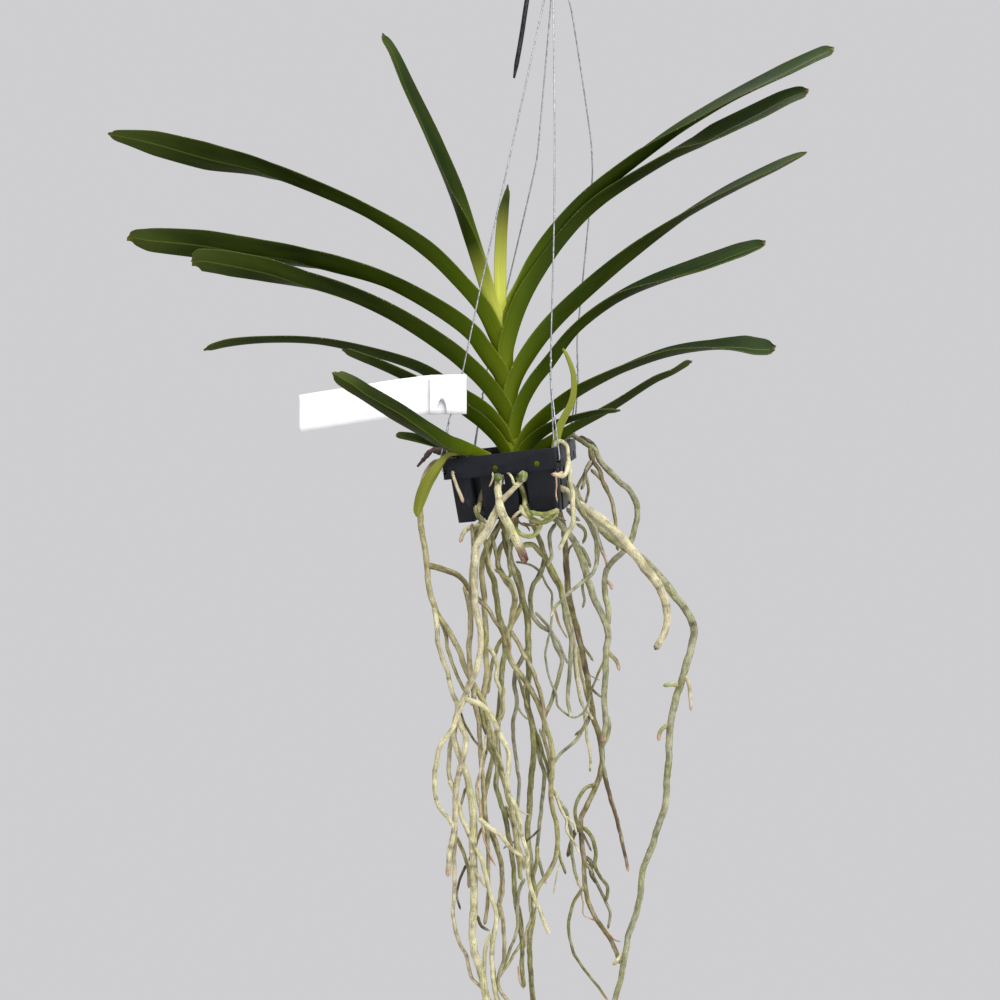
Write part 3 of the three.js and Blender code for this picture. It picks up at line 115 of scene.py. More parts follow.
def through(points, at):
    """Centripetal Catmull-Rom curve at places from 0 to 1. Each span is a cubic whose end slopes
    weigh the neighbouring spans by the square root of their lengths."""
    points = np.asarray(points, float)
    ends = np.vstack([2 * points[0] - points[1], points, 2 * points[-1] - points[-2]])
    gap = np.sqrt(np.linalg.norm(np.diff(ends, axis=0), axis=1))
    place = np.clip(at, 0, 1) * (len(points) - 1)
    span = np.minimum(place.astype(int), len(points) - 2)
    share = (place - span)[:, None]
    a, b, c, d = (ends[span + k] for k in range(4))
    before, here, after = (gap[span + k][:, None] for k in range(3))
    leave = ((b - a) / before - (c - a) / (before + here) + (c - b) / here) * here
    arrive = ((c - b) / here - (d - b) / (here + after) + (d - c) / after) * here
    return (b + leave * share + (3 * (c - b) - 2 * leave - arrive) * share**2
            + (2 * (b - c) + leave + arrive) * share**3)


def measured(points, samples=600):
    """A curve's places, the points there and the distance along it to each."""
    places = np.linspace(0, 1, samples)
    line = through(points, places)
    run = np.concatenate([[0], np.cumsum(np.linalg.norm(np.diff(line, axis=0), axis=1))])
    return places, line, run


def waves(distance, lengths, seed):
    """A smooth unevenness between about -1 and 1: sine waves of these lengths with seeded phases."""
    phases = np.random.default_rng(seed).uniform(0, 2 * np.pi, len(lengths))
    parts = [np.sin(2 * np.pi * distance / length + phase) for length, phase in zip(lengths, phases)]
    return sum(parts) / len(parts)


def square_to(line):
    """Two directions square to a line and to each other. They come from one fixed direction, the
    one of many spread over a sphere whose largest cosine to the line is smallest."""
    along = unit(np.gradient(line, axis=0))
    count = 200
    k = np.arange(count) + 0.5
    height = 1 - k / count
    turn = k * np.pi * (3 - np.sqrt(5))
    wide = np.sqrt(1 - height**2)
    tried = np.stack([wide * np.cos(turn), wide * np.sin(turn), height], 1)
    fixed = tried[np.abs(tried @ along.T).max(1).argmin()]
    across = unit(np.cross(along, fixed))
    return along, across, np.cross(along, across)


def rounded_ends(run, radius):
    """Share of the radius left near the ends of a rod: a quarter circle over the last radius."""
    from_start = np.clip(run / radius[0], 0, 1)
    from_end = np.clip((run[-1] - run) / radius[-1], 0, 1)
    share = np.sqrt(1 - (1 - from_end) ** 2) * np.sqrt(1 - (1 - from_start) ** 2)
    return np.maximum(share, BLUNT_END)


def rod_skin(line, radius, around=10, seed=0):
    """Round skin on a line: at each point a circle of that radius square to the line. The strip
    coordinates are the same rod straightened out, so that a pattern has no seam."""
    along, across, third = square_to(line)
    turn = 2 * np.pi * np.arange(around) / around
    round_about = (np.cos(turn)[None, :, None] * across[:, None]
                   + np.sin(turn)[None, :, None] * third[:, None])
    radius = np.broadcast_to(radius, len(line))
    run = np.concatenate([[0], np.cumsum(np.linalg.norm(np.diff(line, axis=0), axis=1))])
    rings = line[:, None] + radius[:, None, None] * round_about
    strip = np.stack([
        radius[:, None] * np.cos(turn),
        radius[:, None] * np.sin(turn),
        np.broadcast_to(run[:, None] + 317.0 * seed, (len(line), around)),
    ], -1)
    return {"rings": rings, "strip": strip}


def piece(name, skins, material, slot, *nodes):
    """One mesh of closed skins, each a grid of rings by points around. A quad joins neighbours both
    ways, the last point of a ring meets the first, and a flat face closes each end. A skin whose
    signed volume is negative is turned outwards."""
    corners, faces, start = [], [], 0
    for skin in skins:
        rings = skin["rings"]
        count, around = rings.shape[:2]
        i, j = np.meshgrid(np.arange(count - 1), np.arange(around), indexing="ij")
        low, next_low = i * around + j, i * around + (j + 1) % around
        quads = np.stack([low, next_low, next_low + around, low + around], -1).reshape(-1, 4)
        flat = rings.reshape(-1, 3)
        middle = flat.mean(0)
        a, b, c, d = (flat[quads[:, k]] - middle for k in range(4))
        volume = (np.cross(a, b) * c).sum() + (np.cross(a, c) * d).sum()
        caps = [np.arange(around)[::-1], (count - 1) * around + np.arange(around)]
        if volume < 0:
            quads = quads[:, ::-1]
            caps = [cap[::-1] for cap in caps]
        faces += (quads + start).tolist() + [(cap + start).tolist() for cap in caps]
        corners.append(flat)
        start += len(flat)
    mesh = bpy.data.meshes.new(name)
    mesh.from_pydata(((np.vstack(corners) - HANG) / 1000).tolist(), [], faces)
    mesh.polygons.foreach_set("use_smooth", np.array([len(face) == 4 for face in faces]))
    kinds = {1: ("FLOAT", "value"), 3: ("FLOAT_VECTOR", "vector")}
    for key in [key for key in skins[0] if key != "rings"]:
        values = np.concatenate([skin[key].reshape(-1, skin[key].shape[-1] if skin[key].ndim == 3 else 1)
                                 for skin in skins])
        kind, field = kinds[values.shape[1]]
        mesh.attributes.new(key, kind, "POINT").data.foreach_set(field, values.astype(np.float32).ravel())
    mesh.materials.append(material)
    made = bpy.data.objects.new(name, mesh)
    bpy.context.scene.collection.objects.link(made)
    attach(made, "root")
    if nodes:
        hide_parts(*nodes)
    return made


# Suspension: each wire loops through the hook's eye and ends in a hairpin through the rim

WIRE_ROUTES = {
    "front_left": [(550, -22), (544.3, 0), (513.5, 140), (480, 290), (462, 375), (451, 414)],
    "back_left": [(551.2, -22), (551.2, 0), (538.9, 140), (537, 160), (508.9, 280.5), (487.3, 368)],
    "front_right": [(553, -22), (553.4, 0), (554.8, 140), (554.2, 217), (553, 275), (551.2, 331)],
    "back_right": [(556, -22), (569.7, 0), (591.2, 140), (592.7, 172), (589, 217), (577, 339)],
}
WIRE_KNOTS = {
    "front_left": (448, 424), "back_left": (482, 400),
    "front_right": (550.6, 380), "back_right": (578, 382),
}
EYE_MIDDLE = seen([(552, -44, 0)])[0]
CORNER_OUT = (RIM_SIDE / 2 - RIM_CORNER) * np.sqrt(2) + RIM_CORNER
CORNER_IN = (RIM_SIDE / 2 - RIM_WALL - RIM_CORNER) * np.sqrt(2) + RIM_CORNER


def wire_hole(name):
    """Middle of a wire's hole in the basket's frame, the way out of the rim there and its thickness."""
    if name == "back_left":
        return np.array([-29.5, RIM_SIDE / 2 - RIM_WALL / 2]), np.array([0.0, 1.0]), RIM_WALL
    out = np.array([-1 if "left" in name else 1, -1 if "front" in name else 1]) / np.sqrt(2)
    return out * (CORNER_OUT + CORNER_IN) / 2, out, CORNER_OUT - CORNER_IN


def hairpin_points(name):
    middle, out, wall = wire_hole(name)
    half = wall / 2 + WIRE_ROD / 2 + SEAM
    return in_basket([
        (*(middle + out * way * half), height)
        for way, height in ((-1, 1), (-1, WIRE_HOLE_HEIGHT), (1, WIRE_HOLE_HEIGHT), (1, 1))
    ])


def eased(points, reach):
    """The points with each corner traded for three: one this far before it, one this far after
    it, and one between the corner and the middle of those two."""
    points = np.asarray(points, float)
    before, corner, after = points[:-2], points[1:-1], points[2:]
    back = np.minimum(reach, 0.45 * np.linalg.norm(before - corner, axis=1))[:, None]
    on = np.minimum(reach, 0.45 * np.linalg.norm(after - corner, axis=1))[:, None]
    first = corner + unit(before - corner) * back
    last = corner + unit(after - corner) * on
    middle = 0.5 * corner + 0.25 * (first + last)
    inner = np.stack([first, middle, last], 1).reshape(-1, 3)
    return np.vstack([points[:1], inner, points[-1:]])


def even_line(points, step):
    """Points of the smooth curve at even distances."""
    places, line, run = measured(points, 1500)
    distance = np.linspace(0, run[-1], max(8, int(run[-1] / step)))
    return through(points, np.interp(distance, run, places)), distance


def wound(line, radius, pitch, seed):
    """A helix about a line, one turn for each pitch of its length."""
    along, across, third = square_to(line)
    run = np.concatenate([[0], np.cumsum(np.linalg.norm(np.diff(line, axis=0), axis=1))])
    turn = (2 * np.pi * run / pitch + seed)[:, None]
    return line + radius * (np.cos(turn) * across + np.sin(turn) * third)


def wire_depth(name, row):
    low_in = hairpin_points(name)[0]
    return low_in[1] * (row - EYE_ROW) / (CROWN_ROW - EYE_ROW)


def wire_skins(name):
    spots = seen([(column, row, wire_depth(name, row)) for column, row in WIRE_ROUTES[name]])
    column, row = WIRE_KNOTS[name]
    knot = seen([(column, row, wire_depth(name, row))])
    aside = (list(WIRE_ROUTES).index(name) - 1.5) * WIRE_PITCH
    loop_middle = EYE_MIDDLE + [aside, 0, -np.sqrt(EYE_RADIUS**2 - aside**2)]
    turn = np.linspace(-np.pi / 2, 1.5 * np.pi, 33)
    loop = loop_middle + WIRE_LOOP * np.stack([0 * turn, np.cos(turn), np.sin(turn)], 1)
    neck = loop_middle - [0, 0, WIRE_LOOP + WIRE_NECK]
    hairpin = hairpin_points(name)
    thin = WIRE_ROD / 2
    run, distance = even_line(eased(np.vstack([loop[:1], [neck], spots, knot]), 6), 2)
    hook, _ = even_line(eased(np.vstack([knot, hairpin, knot]), 2.2), 0.6)
    low_twist, _ = even_line(np.vstack([knot, knot + 0.55 * (spots[-1:] - knot)]), 0.5)
    high_twist, _ = even_line(np.vstack([loop[:1], [neck], neck + 0.5 * (spots[:1] - neck)]), 0.35)
    skins = [
        rod_skin(run, thin, 8),
        rod_skin(loop, thin, 8),
        rod_skin(hook, thin, 8),
        rod_skin(wound(low_twist, 1.1 * thin, 5.5, 0), 0.7 * thin, 6),
        rod_skin(wound(high_twist, 1.2 * thin, 4.5, 2), 0.7 * thin, 6),
    ]
    return skins


def hook_skins():
    tail = seen([(514, 78, 0), (521, 39, 0), (527, 0, 0), (535, -45, 0), (542, -82, 0)])
    bend_middle = np.array([HANG[0], 0, HANG[2] - HOOK_BEND + HOOK_ROD / 2])
    turn = np.linspace(np.pi, 0, 17)
    bend = bend_middle + HOOK_BEND * np.stack([np.cos(turn), 0 * turn, np.sin(turn)], 1)
    shank = seen([(565, -82, 0), (560, -66, 0)])
    join = EYE_MIDDLE + [0.6, 0, EYE_RADIUS]
    line, distance = even_line(np.vstack([tail, bend, shank, [join]]), 1.2)
    taper = np.clip(0.45 + distance / 16, 0.45, 1)
    turn = np.linspace(0, 2 * np.pi, 49)
    eye = EYE_MIDDLE + EYE_RADIUS * np.stack([np.sin(turn), 0 * turn, np.cos(turn)], 1)
    return [rod_skin(line, HOOK_ROD / 2 * taper, 14), rod_skin(eye, HOOK_ROD / 2, 14)]


# Label: a strip of film folded over the front left wire, the folded flap in front.
# Each row: picture column, rows of the top and bottom edges, and which side of the wire it is.

LABEL_ROWS = np.array([
    (430, 375, 414, -1), (448, 374.7, 414, -1), (463, 374.5, 414, -1), (465.7, 374.5, 414, -0.6),
    (466.4, 374.5, 414, 0), (465.7, 374.5, 414, 0.6), (463, 374.5, 414, 1), (448, 374.7, 414.2, 1),
    (425, 375.6, 414.8, 1), (390, 380.3, 418.6, 1), (350, 387, 424.3, 1), (299, 395, 432, 1),
])
LABEL_GAP = 1.3
LABEL_THICK = 0.5
NOTCH_COLUMN, NOTCH_HALF, NOTCH_HEIGHT = 441.6, 5.2, 14.5


def label_skin():
    """The strip's edges follow the rows. Its long end bends a little back, and the flap's lower edge
    rises in a half oval over the notch."""
    places, line, run = measured(LABEL_ROWS[:, [0, 1, 3]] * [PIXEL, PIXEL, LABEL_GAP], 900)
    distance = np.concatenate([
        np.linspace(0, 16, 110), np.linspace(16, 34, 40)[1:], np.linspace(34, run[-1], 60)[1:],
    ])
    at = np.interp(distance, run, places) * (len(LABEL_ROWS) - 1)
    knots = np.arange(len(LABEL_ROWS))
    column, top, bottom, side = (np.interp(at, knots, LABEL_ROWS[:, k]) for k in range(4))
    oval = np.sqrt(np.clip(1 - ((column - NOTCH_COLUMN) / NOTCH_HALF) ** 2, 0, 1))
    bottom = bottom - np.where(side < -0.99, NOTCH_HEIGHT * oval, 0)
    down = np.linspace(0, 1, 9)
    row = top[:, None] + (bottom - top)[:, None] * down
    depth = wire_depth("front_left", row) + (side * LABEL_GAP)[:, None]
    flat = np.stack([np.broadcast_to(column[:, None], row.shape), row, depth], -1)
    sheet = seen(flat.reshape(-1, 3)).reshape(flat.shape)
    face = unit(np.cross(np.gradient(sheet, axis=0), np.gradient(sheet, axis=1)))
    front, back = sheet + face * LABEL_THICK / 2, (sheet - face * LABEL_THICK / 2)[:, ::-1]
    return {"rings": np.concatenate([front, back], 1)}


# Leaves. Each one: side of the fan, distance along its route where the blade leaves the sheath,
# and rows from the stem outwards: picture column and row of the blade's middle, depth, the way its
# channel faces (0 is up, 90 towards the viewer, -90 away), half its opening angle, width of one half.

LEAVES = {
    "leaf_left_1": (-1, 72, [
        (508, 388, 0, 0, 26, 3), (504.8, 367, 0, 0, 26, 5.5), (500.4, 350.2, 0, 0, 26, 8.7),
        (494.8, 332.5, 0, 0, 26, 11), (486.6, 314.4, 0, 0, 24, 10.8),
        (480.4, 304.4, 0, 0, 22, 10.4), (463.8, 285.2, 0.5, 0, 19, 9.8),
        (428, 250, 3, -2, 23, 10.5), (369, 213, 7, -5, 46, 9.2), (309.5, 186, 10, -8, 53, 10.3),
        (260, 167.5, 12, -35, 64, 8.8), (207, 156.5, 13, -49, 74, 10.6),
        (155, 143.5, 13, -65, 80, 8.2), (130, 138, 12.5, -69, 80, 5.2),
        (114, 135, 12, -70, 80, 3.2), (106.5, 132.5, 12, -70, 80, 1.4),
    ]),
    "leaf_left_2": (-1, 71, [
        (511, 420, 0, 0, 28, 3), (508.5, 403, 0, 0, 28, 5.5), (503.5, 385.2, -0.7, 0, 28, 8.7),
        (499.8, 371.5, -0.7, 0, 28, 12), (491.5, 359.5, -0.7, 0, 26, 11.8),
        (482.3, 346.5, -0.7, 0, 24, 11.4), (473.6, 334.5, -1, 0, 21, 11),
        (450, 315.6, -1, 0, 22, 10.8), (390.5, 282.5, 0, -5, 36, 9.9),
        (338.5, 266, 2, -21, 50, 11.6), (295, 256, 3, -42, 58, 9.9),
        (251, 251.5, 4, -54, 66, 10.8), (207, 245, 5, -62, 72, 10.2), (163, 241, 5, -68, 78, 8.4),
        (149.5, 240, 4.5, -69, 79, 7.7), (133.5, 237.5, 4, -70, 80, 4.7),
        (125.5, 239.5, 4, -70, 80, 2.1),
    ]),
    "leaf_left_3": (-1, 72, [
        (514, 458, 0, 0, 30, 3), (512, 442, 0, 0, 30, 5.5), (509.2, 424.7, -1.2, 0, 30, 8.7),
        (506.5, 412.3, -1.2, 0, 30, 11.4), (499, 399.8, -1.2, 0, 29, 11.4),
        (490, 387.6, -1.4, 0, 27, 11.4), (480, 376.3, -2, 0, 24, 11.2),
        (469.9, 366.6, -3, 0, 20, 11.1), (449.9, 349.6, -4, 0, 17, 10.9),
        (398.5, 316.5, -6, -2, 34, 10.8), (353.5, 295.5, -8, -12, 52, 11),
        (310, 281, -10, -29, 58, 10), (270, 271, -11, -50, 66, 9.6), (230.5, 264, -12, -60, 72, 9),
        (214, 261.5, -12, -62, 74, 8.2), (198.5, 260.5, -12, -65, 77, 7.4),
        (190, 264.5, -12, -66, 78, 3.3),
    ]),
    "leaf_left_4": (-1, 53, [
        (516, 470, 0, 0, 36, 3), (514, 456, -1, 0, 40, 5.5), (508.4, 442.3, -1.8, 0, 42, 7.8),
        (502.5, 430, -1.6, 0, 40, 9.2), (495.5, 420.5, -1, 0, 36, 9.2),
        (488.7, 412.9, 1, 0, 30, 9), (478, 404.3, 3, 0, 24, 8.6), (462, 394.5, 7, 0, 28, 8.6),
        (420.5, 368.5, 13, 0, 50, 9.5), (369, 352, 17, 0, 58, 9), (320, 342, 20, 0, 62, 7.5),
        (270, 340, 21, 2, 64, 8), (230, 343.5, 21, 0, 57, 7.4), (210.5, 348.5, 20.5, 0, 62, 6.1),
        (203, 351, 20, 0, 62, 2.7),
    ]),
    "leaf_left_5": (-1, 44, [
        (513, 472, 0, 0, 36, 5), (508.5, 458, -1.5, 0, 40, 7.5), (503.2, 447.3, -2.6, 0, 42, 9),
        (497.8, 439, -2.8, 0, 40, 9.2), (489.8, 430, -3.5, 0, 36, 9.2), (480.5, 421, -5, 0, 30, 9),
        (470, 413.3, -6.5, 0, 26, 8.4), (455, 403, -8, 0, 30, 8), (413, 380, -11, -5, 48, 8),
        (378, 364, -12, -10, 56, 7.5), (363.5, 358.5, -12.5, -10, 57, 6.7),
        (348.5, 352.5, -13, -10, 58, 5.9), (341, 349.5, -13, -10, 58, 2.7),
    ]),
    "leaf_low_front": (-1, 16, [
        (488, 457, -14, -20, 24, 5.5), (472, 450, -25, -40, 26, 6.8), (458, 445, -35, -52, 28, 9),
        (446, 441, -41, -64, 32, 10.2), (427, 430, -50, -78, 33, 9.6),
        (398.5, 412.5, -58, -88, 35, 10.2), (366, 392.5, -64, -79, 38, 8.4),
        (352, 384, -66, -90, 41, 7.9), (338, 376, -68, -90, 44, 5.9),
        (332, 371, -69, -90, 46, 2.6),
    ]),
    "leaf_low_small": (-1, 10, [
        (466, 456, -15, -20, 30, 4.2), (448, 448, -13, -30, 40, 4.4),
        (430, 442, -14, -45, 50, 4.5), (412, 437, -16, -55, 55, 4),
        (395, 434.5, -18, -60, 58, 2.6),
    ]),
    "leaf_low_drooping": (-1, 16, [
        (466, 459, -17, 0, 50, 2.5), (457, 455, -27, 0, 60, 2.8), (448, 455.5, -34, -10, 62, 3.2),
        (441.5, 462, -38, -40, 60, 3.8), (434.5, 471.5, -40, -60, 58, 4.4),
        (427, 483, -40.5, -75, 58, 4.6), (421.5, 496, -40, -90, 60, 4.4),
        (418, 508, -39, -90, 62, 3.4), (416.5, 518, -38, -90, 62, 2),
    ]),
    "leaf_crown_left": (-1, 60, [
        (504, 354, 0, 0, 22, 3), (501, 336.6, 0, 0, 22, 6), (496.2, 317, 0, 0, 22, 9.6),
        (491.6, 304, 0, 0, 22, 9.8), (484.8, 280, 0, 2, 20, 9.8), (469.5, 231, -3, 20, 26, 9.6),
        (455.9, 189.5, -4, 40, 44, 9.7), (433.5, 137, -7, 42, 50, 8.9),
        (409, 86.5, -10, 42, 56, 7.5), (392.5, 50.5, -12, 42, 66, 4.8),
        (385.5, 39.5, -12, 38, 68, 4.8), (381, 33, -12, 40, 70, 2.1),
    ]),
    "leaf_crown_young": (1, 58, [
        (504, 350, 0, 0, 18, 3), (502, 322, 1, 0, 20, 6.4), (500.6, 290, 2, 0, 22, 8.2),
        (500.6, 255, 3, 0, 26, 8.4), (503.3, 215, 4, 0, 30, 7.8), (507.2, 194, 4, 0, 36, 4.2),
        (508.6, 184, 4, 0, 40, 1.8),
    ]),
    "leaf_right_1": (1, 102, [
        (506.5, 378, 0, 0, 24, 3), (508.2, 354.6, 0, 0, 24, 5.5), (510, 334, 0, 0, 24, 8.7),
        (510.5, 316, 0.5, 6, 24, 12), (514.5, 303, 0.8, 14, 22, 12),
        (522.5, 286.5, 0.8, 12, 20, 11), (536.2, 258, 0.8, 5, 20, 10), (553, 235, 0.8, 0, 20, 9.8),
        (578.3, 206.2, 1.5, 1, 28, 9.6), (597, 189.4, 2, 2, 34, 10.2), (639, 156.5, 1, 5, 50, 11),
        (684.5, 123.5, -1, 20, 66, 10.5), (730, 97, -2, 25, 70, 9.8), (785, 70, -3, 35, 70, 9.7),
        (813.5, 56.5, -3, 39, 72, 7.9), (828, 50.5, -3, 41, 73, 7.3), (836, 48.5, -3, 42, 74, 3.3),
    ]),
    "leaf_right_2": (1, 108, [
        (509.6, 406, 0, 0, 28, 3), (509, 386.6, 0, 0, 28, 5.5), (507.4, 367, -0.5, 0, 28, 8.7),
        (506, 350, -0.5, 0, 28, 11.5), (508.9, 336.4, -0.6, 0, 28, 11.5),
        (513.7, 320.5, -0.8, 0, 27, 11.3), (521.3, 301, -1, 0, 26, 11.2), (531, 283, 0, 0, 24, 10),
        (545, 261.5, 0.8, 0, 21, 8.8), (558, 243.5, 1, 0, 23, 8.3), (580, 218, 1.6, 1, 32, 8.8),
        (601.1, 199.2, 2.4, 3, 42, 9.6), (628, 181, 3.5, 5, 54, 10.5), (671, 155, 6, 8, 58, 10),
        (715.5, 131.5, 8, 43, 62, 10.3), (758.5, 111, 8, 45, 68, 9.8), (787, 97, 8, 52, 70, 7.4),
        (802.5, 92, 8, 55, 71, 5.9), (810.5, 90.5, 8, 56, 72, 2.6),
    ]),
    "leaf_right_3": (1, 81, [
        (514, 442, 0, 0, 30, 3), (513.5, 424.6, 0, 0, 30, 5.5), (511.5, 405, -1.2, 0, 30, 8.7),
        (511, 391.7, -1.2, 0, 30, 10.8), (513.8, 382, -1.2, 0, 30, 10.8),
        (518, 371.7, -1, 0, 29, 11), (526, 357.5, 0, 0, 26, 11.2), (540.3, 336.8, 3, 0, 20, 10.8),
        (559, 315.5, 6, 0, 18, 10.6), (596.5, 281, 9, 0, 22, 10.4), (635, 249.5, 11, 4, 36, 10),
        (685, 215, 13, 6, 66, 9), (730.5, 188, 15, 19, 64, 9), (774.5, 166, 17, 26, 64, 8),
        (787, 160, 17.5, 22, 65, 7.6), (800, 154.5, 18, 22, 66, 5.4), (808, 152.5, 18, 20, 66, 3),
    ]),
    "leaf_right_4": (1, 70, [
        (516, 468, 0, 0, 34, 3), (515.6, 452.6, -0.8, 0, 38, 5.8),
        (515.3, 437.6, -1.4, 0, 38, 8.4), (515.5, 424.5, -1.4, 0, 38, 10.4),
        (519.3, 410.7, -1.8, 0, 37, 10.3), (523.8, 399, -2.4, 0, 34, 9.8),
        (534.6, 380.6, -4, 0, 26, 8.8), (547, 365, -5.5, 0, 24, 8.8),
        (575.5, 329.5, -7, 0, 41, 7.7), (614, 299.5, -8, 4, 55, 9.5), (655, 279, -9, 24, 64, 10),
        (700.5, 264, -10, 35, 66, 10), (740.5, 250, -10, 38, 68, 8.9),
        (760, 243.5, -10, 28, 68, 8), (767.5, 241.5, -10, 28, 68, 3.6),
    ]),
    "leaf_right_5": (1, 50, [
        (517, 472, 0, 0, 36, 5), (518, 458, -1.6, 0, 40, 7.5), (520.2, 447, -2.4, 0, 42, 9),
        (524.2, 438.3, -2.8, 0, 41, 9.2), (531.3, 428.5, -3.6, 0, 38, 9.4),
        (545.2, 415.8, -5.5, 0, 32, 9.8), (560, 403.8, -7, 0, 34, 9.6), (575, 393, -8, 0, 44, 9.5),
        (619.5, 370.5, -9, 2, 58, 8.1), (669.5, 351.5, -10, 10, 62, 10.5),
        (712, 344.5, -11, 24, 66, 8.6), (745, 344.5, -12, 42, 68, 10.1),
        (753.5, 346, -12, 41, 69, 10.4), (769.5, 347.5, -12, 42, 70, 8.4),
        (777.5, 348, -12, 42, 70, 3.8),
    ]),
    "leaf_right_6": (1, 32, [
        (519, 458, 5, 0, 18, 6.5), (545, 444, 10, 0, 24, 7), (575, 427, 15, 0, 44, 7.5),
        (613.5, 406, 21, 0, 54, 8.4), (655, 380, 26, 0, 58, 7.5), (672.5, 372.5, 27.5, 0, 59, 5.9),
        (686.5, 364, 28.5, 0, 60, 7.4), (694, 361.5, 29, 0, 60, 3.3),
    ]),
    "leaf_right_7": (1, 40, [
        (514, 466, -3, 0, 30, 5), (524, 449.5, -4.5, 0, 36, 8.5), (533.5, 439.5, -6.5, 0, 34, 8.5),
        (545, 430.5, -10, 0, 34, 7.8), (558, 424, -14, 0, 38, 6.5), (572, 419, -19, 0, 52, 5.5),
        (600, 412.5, -22, 0, 56, 5), (621, 411, -24, 0, 58, 3),
    ]),
    "leaf_low_right": (1, 12, [
        (555, 449, -23.5, 0, 30, 4.8), (560, 427, -26.5, 0, 30, 5.2),
        (572.5, 400, -27, 0, 30, 4.4), (574, 376, -26, 0, 34, 3.5), (568.5, 358, -25, 0, 36, 2.6),
        (563, 347, -25, 0, 36, 1.6),
    ]),
}

ACROSS = np.array([-1, -0.985, -0.95, -0.88, -0.75, -0.55, -0.35, -0.18, -0.07])
ACROSS = np.concatenate([ACROSS, [0], -ACROSS[::-1]])
KEEL_ROUND = 0.07
BLADE_BEND, SHEATH_BEND = 6, 28
TUCK = 6                  # how far a blade and its sheath run on inside each other
TUCK_WALL = 0.5           # share of the thickness left there
TUCK_RINGS = 4
SHEATH_STEP, BLADE_STEP = 2.4, 2.6
TIP_RINGS = 9
TIP_CUT = 0.15            # share of the tip's length that is left off, for a blunt tip
TIP_REACH = np.array([-2, 0.6, -2.4, -0.2, -2.6]) / TIP_LENGTH


